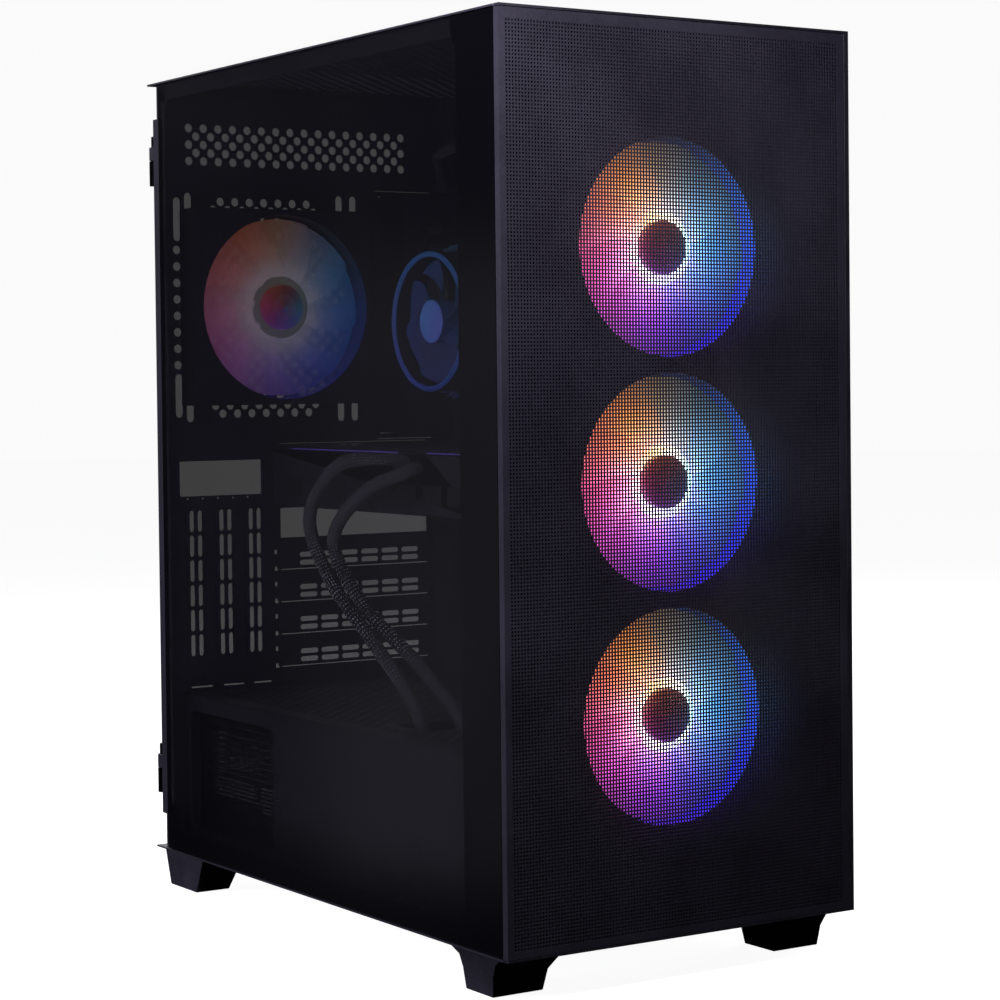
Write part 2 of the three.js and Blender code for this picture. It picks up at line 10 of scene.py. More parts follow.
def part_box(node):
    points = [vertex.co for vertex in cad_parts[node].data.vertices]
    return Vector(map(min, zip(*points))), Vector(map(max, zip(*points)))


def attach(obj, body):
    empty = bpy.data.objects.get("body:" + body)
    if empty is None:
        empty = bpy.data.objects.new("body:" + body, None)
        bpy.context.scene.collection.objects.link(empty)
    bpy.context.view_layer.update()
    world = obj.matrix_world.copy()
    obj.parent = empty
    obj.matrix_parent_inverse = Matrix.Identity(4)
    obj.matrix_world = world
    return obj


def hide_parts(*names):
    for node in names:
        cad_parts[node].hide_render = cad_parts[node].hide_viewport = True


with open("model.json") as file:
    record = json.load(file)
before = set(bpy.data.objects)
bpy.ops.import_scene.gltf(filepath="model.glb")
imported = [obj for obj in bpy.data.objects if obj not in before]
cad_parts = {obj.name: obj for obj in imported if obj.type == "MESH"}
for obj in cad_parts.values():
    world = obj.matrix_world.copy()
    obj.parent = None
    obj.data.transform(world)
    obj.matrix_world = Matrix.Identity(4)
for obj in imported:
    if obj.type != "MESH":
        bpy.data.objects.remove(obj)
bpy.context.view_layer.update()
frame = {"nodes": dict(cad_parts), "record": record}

# Desktop computer tower: perforated front, tinted glass door, lit fans. Lengths below are in millimetres.
mm = 0.001
print("frame loaded:", len(frame["nodes"]), "CAD nodes")

# ---- camera ----

cameraView = {
    "azimuth": -32.964, "elevation": 1.618, "roll": -0.612, "distance": 1469.741,
    "centre": (0.0, -6.5, 265.123), "aside": 11.68, "lens": 93.02, "shift": (-0.0028, -0.0478),
}


def addCamera(view):
    # back points from the object to the camera; right and up are turned about it by the roll
    azimuth, elevation, roll = (math.radians(view[k]) for k in ("azimuth", "elevation", "roll"))
    back = Vector((math.sin(azimuth) * math.cos(elevation),
                   -math.cos(azimuth) * math.cos(elevation), math.sin(elevation)))
    right = Vector((0, 0, 1)).cross(back).normalized()
    up = back.cross(right)
    turnedRight = right * math.cos(roll) + up * math.sin(roll)
    turnedUp = up * math.cos(roll) - right * math.sin(roll)
    target = turnedRight * view["aside"] + Vector(view["centre"])
    place = (target + back * view["distance"]) * mm
    data = bpy.data.cameras.new("tower_camera")
    data.lens = view["lens"]
    data.sensor_width = 36
    data.shift_x, data.shift_y = view["shift"]
    data.clip_start = 0.05
    data.clip_end = 60
    camera = bpy.data.objects.new("tower_camera", data)
    bpy.context.scene.collection.objects.link(camera)
    turn = Matrix((turnedRight, turnedUp, back)).transposed()
    camera.matrix_world = Matrix.Translation(place) @ turn.to_4x4()
    bpy.context.scene.camera = camera


addCamera(cameraView)

# ---- shapes: each gives (points, faces), points as an n by 3 array and faces as a list of index arrays ----


def merged(*shapes):
    # several shapes as one, with the later ones' indices moved on
    points, faces, count = [], [], 0
    for shapePoints, shapeFaces in shapes:
        points.append(np.asarray(shapePoints, float))
        faces += [np.asarray(f) + count for f in shapeFaces]
        count += len(shapePoints)
    return np.concatenate(points), faces


def boxes(lows, highs):
    # one box between each lowest and highest corner
    lows, highs = np.asarray(lows, float).reshape(-1, 3), np.asarray(highs, float).reshape(-1, 3)
    pick = np.array([[0, 0, 0], [1, 0, 0], [1, 1, 0], [0, 1, 0], [0, 0, 1], [1, 0, 1], [1, 1, 1], [0, 1, 1]])
    points = lows[:, None, :] + (highs - lows)[:, None, :] * pick[None]
    sides = np.array([[0, 3, 2, 1], [4, 5, 6, 7], [0, 1, 5, 4], [1, 2, 6, 5], [2, 3, 7, 6], [3, 0, 4, 7]])
    faces = (np.arange(len(lows))[:, None, None] * 8 + sides[None]).reshape(-1, 4)
    return points.reshape(-1, 3), [faces]


def gridFaces(rows, columns, closeRows=False):
    # quads of a grid whose points are numbered row by row; each row is a ring, so its ends always join
    i = np.arange(rows if closeRows else rows - 1)
    j = np.arange(columns)
    a, b = np.meshgrid(i, j, indexing="ij")
    down, along = (a + 1) % rows, (b + 1) % columns
    quads = np.stack([a * columns + b, a * columns + along, down * columns + along, down * columns + b], -1)
    return quads.reshape(-1, 4)


def lathe(profile, centre, axis, sides=48, closed=False, radiusWave=None):
    # a profile of (radius, height) turned once about the axis through centre
    profile = np.asarray(profile, float)
    angle = np.linspace(0, 2 * math.pi, sides, endpoint=False)
    radius = profile[:, :1] * (1 if radiusWave is None else radiusWave(angle)[None])
    first, second = radius * np.cos(angle), radius * np.sin(angle)
    height = np.repeat(profile[:, 1:], sides, 1)
    order = {"x": (height, first, second), "y": (first, height, second), "z": (first, second, height)}[axis]
    points = np.stack(order, -1).reshape(-1, 3) + np.asarray(centre, float)
    return points, [gridFaces(len(profile), sides, closeRows=closed)]


def discs(centres, radius, sides=12):
    # one round outline at each centre
    angle = np.linspace(0, 2 * math.pi, sides, endpoint=False)
    ring = np.stack([np.cos(angle), np.sin(angle)], -1) * radius
    return list(np.asarray(centres, float)[:, None, :] + ring[None])


def stadiums(centres, halfLength, radius, upright, sides=10):
    # one slot outline with round ends at each centre, halfLength from its centre to an end's centre
    angle = np.linspace(-math.pi / 2, math.pi / 2, sides // 2)
    end = np.stack([np.cos(angle) * radius + halfLength, np.sin(angle) * radius], -1)
    outline = np.concatenate([end, -end])
    if upright:
        outline = np.stack([-outline[:, 1], outline[:, 0]], -1)
    return list(np.asarray(centres, float)[:, None, :] + outline[None])


def rectangle(low, high, corner=0.0, steps=4):
    # a rectangle's outline with round corners of that radius
    centre, half = (np.asarray(low) + high) / 2, (np.asarray(high, float) - low) / 2
    if corner == 0:
        return centre + half * np.array([[-1, -1], [1, -1], [1, 1], [-1, 1]])
    angle = np.linspace(0, math.pi / 2, steps + 1)
    turns = np.array([2, 3, 0, 1]) * math.pi / 2
    signs = np.array([[-1, -1], [1, -1], [1, 1], [-1, 1]])
    arcs = [centre + sign * (half - corner) + corner * np.stack([np.cos(angle + t), np.sin(angle + t)], -1)
            for sign, t in zip(signs, turns)]
    return np.concatenate(arcs)


def staggered(xLow, xHigh, zLow, zHigh, pitch, keep=None):
    # hole centres in rows half a pitch apart, each second row moved by half a pitch
    half = pitch / 2
    across = np.arange(0, int((xHigh - xLow) / half + 1e-6) + 1)
    upwards = np.arange(0, int((zHigh - zLow) / half + 1e-6) + 1)
    i, j = np.meshgrid(across, upwards, indexing="ij")
    even = (i + j) % 2 == 0
    centres = np.stack([xLow + i[even] * half, zLow + j[even] * half], -1)
    return centres if keep is None else centres[keep(centres[:, 0], centres[:, 1])]


def punched(outline, holes, low, high, axis):
    # a flat sheet from low to high along the axis, with convex holes: the plane is triangulated round every
    # outline, the triangles whose corners all lie on one hole are left out, and a wall joins the two faces
    loops = [np.asarray(outline, float)] + [np.asarray(h, float) for h in holes]
    flat = np.concatenate(loops)
    owner = np.repeat(np.arange(len(loops)), [len(loop) for loop in loops])
    starts = np.concatenate([[0], np.cumsum([len(loop) for loop in loops])])
    here = np.arange(len(flat))
    onward = here + 1
    onward[starts[1:] - 1] = starts[:-1]
    edges = np.stack([here, onward], -1)
    found = delaunay_2d_cdt([Vector(p) for p in flat.tolist()], edges.tolist(), [], 1, 1e-7)
    if len(found[0]) != len(flat):
        raise ValueError("two outlines of a punched sheet meet")
    source = np.array([ids[0] for ids in found[3]])
    triangles = source[np.array(found[2])]
    owners = owner[triangles]
    inHole = (owners[:, 0] > 0) & (owners[:, 0] == owners[:, 1]) & (owners[:, 1] == owners[:, 2])
    triangles = triangles[~inHole]
    count = len(flat)

    def laid(level):
        depth = np.full(count, float(level))
        order = {"x": (depth, flat[:, 0], flat[:, 1]), "y": (flat[:, 0], depth, flat[:, 1]),
                 "z": (flat[:, 0], flat[:, 1], depth)}[axis]
        return np.stack(order, -1)

    walls = np.stack([here, onward, onward + count, here + count], -1)
    return np.concatenate([laid(low), laid(high)]), [triangles[:, ::-1], triangles + count, walls]


def smoothPath(corners, count):
    # a Catmull-Rom curve through the corners, as Hermite stretches with tangents from the neighbours
    corners = np.asarray(corners, float)
    tangent = np.gradient(corners, axis=0)
    t = np.linspace(0, len(corners) - 1, count)
    k = np.minimum(t.astype(int), len(corners) - 2)
    u = (t - k)[:, None]
    a, b, ta, tb = corners[k], corners[k + 1], tangent[k], tangent[k + 1]
    return ((2 * u**3 - 3 * u**2 + 1) * a + (u**3 - 2 * u**2 + u) * ta
            + (3 * u**2 - 2 * u**3) * b + (u**3 - u**2) * tb)


def tube(path, radius, sides):
    # a circle carried along the path; its frame turns with the path and never about it
    ahead = np.gradient(path, axis=0)
    ahead /= np.linalg.norm(ahead, axis=1)[:, None]
    side = np.cross(ahead[0], (0.3, 0.2, 1.0))
    frames = []
    for direction in ahead:
        side = side - direction * (side @ direction)
        side = side / np.linalg.norm(side)
        frames.append((side, np.cross(direction, side)))
    frames = np.array(frames)
    angle = np.linspace(0, 2 * math.pi, sides, endpoint=False)
    cosine, sine = np.cos(angle)[None, :, None], np.sin(angle)[None, :, None]
    ring = frames[:, None, 0] * cosine + frames[:, None, 1] * sine
    points = (path[:, None, :] + ring * radius).reshape(-1, 3)
    last = (len(path) - 1) * sides
    caps = [np.arange(sides)[None, ::-1], last + np.arange(sides)[None]]
    return points, [gridFaces(len(path), sides)] + caps


# ---- putting a piece into the scene ----


def fillMesh(mesh, points, faces):
    # points in millimetres become vertices in metres, and each row of an index array becomes a face
    flat = np.concatenate([np.asarray(f).ravel() for f in faces]).astype(np.int32)
    sizes = np.concatenate([np.full(len(f), np.asarray(f).shape[1]) for f in faces])
    starts = np.concatenate([[0], np.cumsum(sizes)[:-1]]).astype(np.int32)
    mesh.vertices.add(len(points))
    mesh.vertices.foreach_set("co", (np.asarray(points) * mm).astype(np.float32).ravel())
    mesh.loops.add(len(flat))
    mesh.loops.foreach_set("vertex_index", flat)
    mesh.polygons.add(len(sizes))
    mesh.polygons.foreach_set("loop_start", starts)
    mesh.update(calc_edges=True)
    mesh.validate()


def tidyMesh(mesh, flatten=False):
    # doubles merged, empty faces gone, and every shell facing outwards
    work = bmesh.new()
    work.from_mesh(mesh)
    bmesh.ops.remove_doubles(work, verts=work.verts, dist=2e-6)
    bmesh.ops.dissolve_degenerate(work, edges=work.edges, dist=1e-6)
    if flatten:
        bmesh.ops.dissolve_limit(work, angle_limit=math.radians(1), verts=work.verts, edges=work.edges)
    bmesh.ops.recalc_face_normals(work, faces=work.faces)
    work.to_mesh(mesh)
    work.free()


def dress(piece, material, body, stands=(), bevel=0, smoothAngle=35):
    # material, rounded edges, smooth shading up to an angle, and the body that carries the piece
    piece.data.materials.clear()
    piece.data.materials.append(material)
    piece.data.shade_smooth()
    piece.data.set_sharp_from_angle(angle=math.radians(smoothAngle))
    if bevel:
        rounding = piece.modifiers.new("rounded_edges", "BEVEL")
        rounding.width = bevel * mm
        rounding.segments = 2
        rounding.limit_method = "ANGLE"
        rounding.angle_limit = math.radians(40)
        rounding.harden_normals = True
    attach(piece, body)
    if stands:
        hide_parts(*stands)
    return piece


def addPiece(name, shape, material, body, stands=(), bevel=0, smoothAngle=35, tidy=True):
    # a new object made from a shape's points and faces, then dressed
    mesh = bpy.data.meshes.new(name)
    fillMesh(mesh, *shape)
    if tidy:
        tidyMesh(mesh)
    piece = bpy.data.objects.new(name, mesh)
    bpy.context.scene.collection.objects.link(piece)
    return dress(piece, material, body, stands, bevel, smoothAngle)


def bodyOf(node):
    # the moving body that holds a node
    return next(body for body, nodes in frame["record"]["behaviour"]["bodies"].items() if node in nodes)


def rounded(node, material, bevel=0.4, smoothAngle=35):
    # the CAD part's own shape with its seams merged and its edges rounded
    mesh = frame["nodes"][node].data.copy()
    tidyMesh(mesh, flatten=True)
    piece = bpy.data.objects.new(node + "_finish", mesh)
    bpy.context.scene.collection.objects.link(piece)
    return dress(piece, material, bodyOf(node), [node], bevel, smoothAngle)


def paintNode(node, material):
    # one material on a CAD node that keeps its own mesh
    data = frame["nodes"][node].data
    data.materials.clear()
    data.materials.append(material)


# ---- materials ----


def linear(hexColour):
    # an sRGB hex colour as the linear values that a shader takes
    values = np.array([int(hexColour[i:i + 2], 16) for i in (1, 3, 5)]) / 255
    spread = np.where(values <= 0.04045, values / 12.92, ((values + 0.055) / 1.055) ** 2.4)
    return (*spread.tolist(), 1.0)


def addNode(tree, kind, settings=None, inputs=None, links=None):
    # one shader node with its settings, its socket values and the sockets that feed it
    node = tree.nodes.new(kind)
    for name, value in (settings or {}).items():
        setattr(node, name, value)
    for socket, value in (inputs or {}).items():
        node.inputs[socket].default_value = value
    for socket, source in (links or {}).items():
        tree.links.new(source, node.inputs[socket])
    return node


def newMaterial(name, values):
    # a material whose shader starts from the given socket values
    material = bpy.data.materials.new(name)
    material.use_nodes = True
    shader = material.node_tree.nodes["Principled BSDF"]
    for socket, value in values.items():
        shader.inputs[socket].default_value = value
    return material, material.node_tree, shader


def addRamp(tree, source, stops):
    # a colour ramp with a list of (place, colour)
    ramp = addNode(tree, "ShaderNodeValToRGB", links={"Fac": source})
    elements = ramp.color_ramp.elements
    while len(elements) > 1:
        elements.remove(elements[-1])
    elements[0].position, elements[0].color = stops[0]
    for place, colour in stops[1:]:
        elements.new(place).color = colour
    return ramp


def grainy(name, look):
    # a surface with a fine grain in its height and slow changes in its tone and roughness
    material, tree, shader = newMaterial(name, {
        "Metallic": look.get("metallic", 0.0), "IOR": look.get("ior", 1.5),
        "Specular IOR Level": look.get("specular", 0.5)})
    place = addNode(tree, "ShaderNodeTexCoord").outputs["Object"]
    grain = addNode(tree, "ShaderNodeTexNoise", inputs={"Scale": 1000 / look["grain"], "Detail": 2.0},
                    links={"Vector": place})
    cloud = addNode(tree, "ShaderNodeTexNoise", inputs={"Scale": 1000 / look["cloud"], "Detail": 3.0},
                    links={"Vector": place})
    mixed = addNode(tree, "ShaderNodeMath", {"operation": "MULTIPLY_ADD"}, {1: 0.5},
                    {0: grain.outputs["Fac"]})
    halfCloud = addNode(tree, "ShaderNodeMath", {"operation": "MULTIPLY"}, {1: 0.5},
                        {0: cloud.outputs["Fac"]})
    tree.links.new(halfCloud.outputs[0], mixed.inputs[2])
    tone = addRamp(tree, mixed.outputs[0], [(0.36, linear(look["dark"])), (0.64, linear(look["light"]))])
    tree.links.new(tone.outputs["Color"], shader.inputs["Base Color"])
    rough = addNode(tree, "ShaderNodeMapRange", inputs={
        "From Min": 0.3, "From Max": 0.7, "To Min": look["rough"][0], "To Max": look["rough"][1]},
        links={"Value": cloud.outputs["Fac"]})
    tree.links.new(rough.outputs["Result"], shader.inputs["Roughness"])
    bump = addNode(tree, "ShaderNodeBump", inputs={"Strength": look["bump"], "Distance": look["height"] * mm},
                   links={"Height": grain.outputs["Fac"]})
    tree.links.new(bump.outputs["Normal"], shader.inputs["Normal"])
    return material


# Powder-coated steel: polyester baked on, whose fine orange-peel grain spreads every reflection softly.
# The real grain is about 0.3 mm; it is drawn at 0.9 mm so that it shows.
powderCoat = grainy("powder_coated_steel", {
    "dark": "#1a191e", "light": "#222127", "rough": (0.42, 0.56), "grain": 0.9, "cloud": 60, "bump": 0.22,
    "height": 0.08})
# The same coat on the perforated front, a little more matt because the punched edges break the film.
# Its grain is drawn at 1.2 mm, as the other finishes here are drawn at 0.7 mm or more, to show at all.
frontCoat = grainy("powder_coated_front", {
    "dark": "#1b1a1f", "light": "#242329", "rough": (0.46, 0.6), "grain": 1.2, "cloud": 45, "bump": 0.15,
    "height": 0.06})
# Moulded ABS with a spark-eroded texture, which gives an even matt black.
absPlastic = grainy("moulded_abs", {
    "dark": "#121215", "light": "#19191d", "rough": (0.45, 0.62), "grain": 0.8, "cloud": 30, "bump": 0.25,
    "height": 0.06})
# Polished ABS for the graphics card and the memory covers: a darker face with a clearer gloss.
polishedPlastic = grainy("polished_abs", {
    "dark": "#17171b", "light": "#202026", "rough": (0.25, 0.38), "grain": 2.5, "cloud": 40, "bump": 0.05,
    "height": 0.03})
# Thermoplastic rubber on the soles: dead matt with a coarse grain.
soleRubber = grainy("sole_rubber", {
    "dark": "#0b0b0c", "light": "#131314", "rough": (0.8, 0.95), "grain": 1.4, "cloud": 12, "bump": 0.4,
    "height": 0.1})
# Coarse-textured foot moulding, a shade lighter than the case so that its lit side reads.
footPlastic = grainy("textured_foot_plastic", {
    "dark": "#1b1b20", "light": "#28272d", "rough": (0.5, 0.66), "grain": 1.1, "cloud": 25, "bump": 0.35,
    "height": 0.1})
# Zinc-plated steel: a cool grey metal with cloudy spangles.
zincPlate = grainy("zinc_plated_steel", {
    "dark": "#85878c", "light": "#9c9ea3", "rough": (0.36, 0.44), "grain": 3.0, "cloud": 25, "bump": 0.03,
    "height": 0.02, "metallic": 1.0})
# Black nickel on the screws and hinges: a dark metal with a soft shine.
blackNickel = grainy("black_nickel_plate", {
    "dark": "#26262b", "light": "#3a3a41", "rough": (0.26, 0.4), "grain": 0.9, "cloud": 6, "bump": 0.1,
    "height": 0.03, "metallic": 1.0})
# Extruded aluminium, bead-blasted: a soft silver with a faint grain.
blastedAluminium = grainy("blasted_aluminium", {
    "dark": "#8f9196", "light": "#aeb0b5", "rough": (0.34, 0.48), "grain": 0.7, "cloud": 20, "bump": 0.18,
    "height": 0.03, "metallic": 1.0})
# Black anodised aluminium on the regulator heat sink.
blackAnodised = grainy("black_anodised_aluminium", {
    "dark": "#1d1d21", "light": "#2b2b30", "rough": (0.32, 0.45), "grain": 0.8, "cloud": 18, "bump": 0.15,
    "height": 0.03, "metallic": 0.6})
# The supply's black enamelled case, smoother and glossier than the coat on the tower.
supplyEnamel = grainy("black_enamel", {
    "dark": "#0a0a0c", "light": "#101013", "rough": (0.28, 0.4), "grain": 1.4, "cloud": 35, "bump": 0.12,
    "height": 0.04})


def solderMask():
    # Black solder mask over copper: tracks show as a slight relief under a satin lacquer
    material, tree, shader = newMaterial("black_solder_mask", {"Roughness": 0.38, "IOR": 1.52})
    place = addNode(tree, "ShaderNodeTexCoord").outputs["Object"]
    turned = addNode(tree, "ShaderNodeMapping", inputs={"Rotation": (0, math.pi / 2, 0)},
                     links={"Vector": place})
    tracks = addNode(tree, "ShaderNodeTexBrick", {"offset": 0.35, "squash": 0.6}, {
        "Scale": 1000 / 4, "Mortar Size": 0.035, "Brick Width": 1.9, "Row Height": 0.32,
        "Color1": linear("#101114"), "Color2": linear("#16171b"), "Mortar": linear("#23252b")},
        {"Vector": turned.outputs["Vector"]})
    tree.links.new(tracks.outputs["Color"], shader.inputs["Base Color"])
    bump = addNode(tree, "ShaderNodeBump", inputs={"Strength": 0.3, "Distance": 0.05 * mm},
                   links={"Height": tracks.outputs["Fac"]})
    tree.links.new(bump.outputs["Normal"], shader.inputs["Normal"])
    return material


def smokedGlass():
    # Tempered glass with a grey tint: each face lets about a fifth of the light through, so the pair
    # lets 4.6% through, and the faint haze softens what it mirrors
    material, tree, shader = newMaterial("smoked_glass", {
        "Base Color": linear("#050507"), "IOR": 1.5, "Alpha": 0.785})
    place = addNode(tree, "ShaderNodeTexCoord").outputs["Object"]
    haze = addNode(tree, "ShaderNodeTexNoise", inputs={"Scale": 1000 / 140, "Detail": 1.0},
                   links={"Vector": place})
    rough = addNode(tree, "ShaderNodeMapRange", inputs={"From Min": 0.3, "From Max": 0.7, "To Min": 0.16,
                                                        "To Max": 0.24}, links={"Value": haze.outputs["Fac"]})
    tree.links.new(rough.outputs["Result"], shader.inputs["Roughness"])
    return material


def wovenSleeve():
    # Braided polyester over the wires: threads cross on two slants, and the crown of each is painted pale as a
    # highlight, which gives the speckled look. Real threads are about 1 mm apart; drawn 3.4 mm apart so that
    # they show.
    material, tree, shader = newMaterial("braided_polyester", {"Roughness": 0.6, "Specular IOR Level": 0.15})
    place = addNode(tree, "ShaderNodeUVMap", {"uv_map": "sleeve"}).outputs["UV"]
    parts = addNode(tree, "ShaderNodeSeparateXYZ", links={"Vector": place})
    thread = 2 * math.pi / 3.4
    waves = []
    for slant in (1, -1):
        along = addNode(tree, "ShaderNodeMath", {"operation": "MULTIPLY_ADD"}, {1: float(slant)},
                        {0: parts.outputs["X"], 2: parts.outputs["Y"]})
        phase = addNode(tree, "ShaderNodeMath", {"operation": "MULTIPLY"}, {1: thread}, {0: along.outputs[0]})
        waves.append(addNode(tree, "ShaderNodeMath", {"operation": "SINE"}, links={0: phase.outputs[0]}))
    crowns = addNode(tree, "ShaderNodeMath", {"operation": "MULTIPLY"}, links={
        0: waves[0].outputs[0], 1: waves[1].outputs[0]})
    # the pale stop at the crowns is a painted highlight; the darker stops are the threads' own black
    tone = addRamp(tree, crowns.outputs[0], [(0.0, linear("#050507")), (0.62, linear("#08080b")),
                                             (0.86, linear("#a4a4ae"))])
    tree.links.new(tone.outputs["Color"], shader.inputs["Base Color"])
    bump = addNode(tree, "ShaderNodeBump", inputs={"Strength": 0.7, "Distance": 0.4 * mm},
                   links={"Height": crowns.outputs[0]})
    tree.links.new(bump.outputs["Normal"], shader.inputs["Normal"])
    return material


def litPlastic(name, look):
    # Milky polycarbonate lit from coloured diodes round the hub: the hue follows the angle about the
    # axis, and the light fades from the hub to the tips. look["plane"] is the two axes across the fan.
    # The same glow also paints the fans' light where it falls on the fan frames and on the cooler fins.
    material, tree, shader = newMaterial(name, {
        "Base Color": linear(look["base"]), "Roughness": 0.42, "Emission Strength": look["strength"],
        "Alpha": look.get("alpha", 1.0)})
    place = addNode(tree, "ShaderNodeTexCoord").outputs["Object"]
    centred = addNode(tree, "ShaderNodeMapping", inputs={"Location": tuple(-c * mm for c in look["centre"])},
                      links={"Vector": place})
    parts = addNode(tree, "ShaderNodeSeparateXYZ", links={"Vector": centred.outputs["Vector"]})
    first, second = (parts.outputs[axis] for axis in look["plane"])
    angle = addNode(tree, "ShaderNodeMath", {"operation": "ARCTAN2"}, links={0: second, 1: first})
    turn = addNode(tree, "ShaderNodeMapRange", inputs={
        "From Min": -math.pi, "From Max": math.pi, "To Min": 0.0, "To Max": 1.0},
        links={"Value": angle.outputs[0]})
    hue = addRamp(tree, turn.outputs["Result"],
                  [(i / (len(look["hues"]) - 1), linear(c)) for i, c in enumerate(look["hues"])])
    flat = addNode(tree, "ShaderNodeCombineXYZ", links={"X": first, "Y": second})
    radius = addNode(tree, "ShaderNodeVectorMath", {"operation": "LENGTH"}, links={0: flat.outputs[0]})
    share = addNode(tree, "ShaderNodeMath", {"operation": "DIVIDE"}, {1: look["radius"] * mm},
                    {0: radius.outputs["Value"]})
    fade = addRamp(tree, share.outputs[0], [(r, (v, v, v, 1)) for r, v in look["fade"]])
    white = addRamp(tree, share.outputs[0], [(r, (v, v, v, 1)) for r, v in look["white"]])
    washed = addNode(tree, "ShaderNodeMix", {"data_type": "RGBA"}, {7: linear(look["centreLight"])},
                     {0: white.outputs["Color"], 6: hue.outputs["Color"]})
    glow = addNode(tree, "ShaderNodeMix", {"data_type": "RGBA", "blend_type": "MULTIPLY"}, {0: 1.0},
                   {6: washed.outputs[2], 7: fade.outputs["Color"]})
    tree.links.new(glow.outputs[2], shader.inputs["Emission Color"])
    return material


boardMask = solderMask()
doorGlass = smokedGlass()
cableSleeve = wovenSleeve()
print("materials ready")

# ---- front: perforated sheet and its frame ----

frontSheet = {
    "left": -110.0, "right": 106.7, "low": 23.5, "high": 486.3, "frontY": -197.5, "thickness": 0.7,
    "pitch": 1.83, "hole": 1.08, "margin": (3.6, 3.6, 3.0, 4.0), "flangeBackY": -193.2, "recess": 0.05,
}


def frontMeshSheet(look):
    # a solid margin with a folded left edge, and a lattice of bars that leaves the square holes open
    y0, y1 = look["frontY"], look["frontY"] + look["thickness"]
    left, low = look["left"] + look["margin"][0], look["low"] + look["margin"][1]
    columns = int((look["right"] - look["margin"][2] - left) / look["pitch"])
    rows = int((look["high"] - look["margin"][3] - low) / look["pitch"])
    right, high = left + columns * look["pitch"], low + rows * look["pitch"]
    border = punched(rectangle((look["left"], look["low"]), (look["right"], look["high"])),
                     [rectangle((left, low), (right, high))], y0, y1, "y")
    flange = boxes([(look["left"], y1, look["low"])], [(look["left"] + 1, look["flangeBackY"], look["high"])])
    halfBar = (look["pitch"] - look["hole"]) / 2
    x = left + look["pitch"] * np.arange(0, columns + 1)
    z = low + look["pitch"] * np.arange(0, rows + 1)
    ends = np.ones_like
    uprights = boxes(np.stack([x - halfBar, (y0 + 0.02) * ends(x), (low - 0.2) * ends(x)], -1),
                     np.stack([x + halfBar, (y1 - 0.02) * ends(x), (high + 0.2) * ends(x)], -1))
    levels = boxes(np.stack([(left - 0.2) * ends(z), (y0 + look["recess"]) * ends(z), z - halfBar], -1),
                   np.stack([(right + 0.2) * ends(z), (y1 - look["recess"]) * ends(z), z + halfBar], -1))
    return merged(border, flange, uprights, levels)


addPiece("front_perforated_sheet", frontMeshSheet(frontSheet), frontCoat, "front_panel",
         ["front_mesh"])
rounded("front_panel_frame", absPlastic, 0.4)
print("front panel done")

# ---- lit fans ----

fanLook = {
    "bladeRoot": 19.0, "bladeTip": 54.6, "blades": 9, "depth": 14.0, "overlap": 1.56, "sweep": 0.32,
    "thickness": 1.5, "hub": 20.0, "cap": 13.8, "capStep": 5.0,
}
frontHues = ["#ff5c98", "#f458c0", "#c850e0", "#9444ff", "#5c58ff", "#4a86ff", "#4a9cf4", "#5098d0",
             "#587c8c", "#8a7860", "#e88c40", "#ff7c5c", "#ff5c98"]
rearHues = ["#f888b8", "#f07cd8", "#cf88f4", "#9070f0", "#4c60f4", "#2c70f0", "#2484f0", "#3c94e0",
            "#8c94b4", "#d09468", "#f07c50", "#f88080", "#f888b8"]

# How a blade's section changes from its root (0) to its tip (1).
bladeShape = {
    "narrowing": 0.06, "sweepBend": 1.4, "inset": 2.5, "bow": 1.6, "thinning": 0.35, "flattening": 0.62,
    "clearance": 0.2,
}


def bladeSet(look, tipRadius, depth, lean=1):
    # each blade is a closed section carried from the root to the tip. Round the section, v runs over the
    # chord and back; the chord spans a share of the turn, drops along the axis, and bows like a sail.
    shape = bladeShape
    section = np.linspace(0, 2 * math.pi, 24, endpoint=False)
    outward = np.linspace(0, 1, 9)[:, None]
    v = 0.5 - 0.5 * np.cos(section)[None]
    radius = look["bladeRoot"] + (tipRadius - look["bladeRoot"]) * outward
    span = 2 * math.pi / look["blades"] * look["overlap"] * (1 - shape["narrowing"] * outward)
    turn = lean * ((v - 0.5) * span + look["sweep"] * outward ** shape["sweepBend"])
    drop = (v - 0.5) * (depth - shape["inset"]) + shape["bow"] * np.sin(math.pi * v) + 0 * outward
    drop = drop + np.sin(section)[None] * look["thickness"] / 2 * (1 - shape["thinning"] * outward)
    limit = depth / 2 - shape["clearance"]
    drop = np.clip(drop * (1 - shape["flattening"] * outward), -limit, limit)
    shapes = []
    for i in range(look["blades"]):
        angle = turn + 2 * math.pi * i / look["blades"]
        points = np.stack([radius * np.cos(angle), drop, radius * np.sin(angle)], -1).reshape(-1, 3)
        count = len(section)
        caps = [np.arange(count)[None, ::-1], (len(outward) - 1) * count + np.arange(count)[None]]
        shapes.append((points, [gridFaces(len(outward), count)] + caps))
    return merged(*shapes)


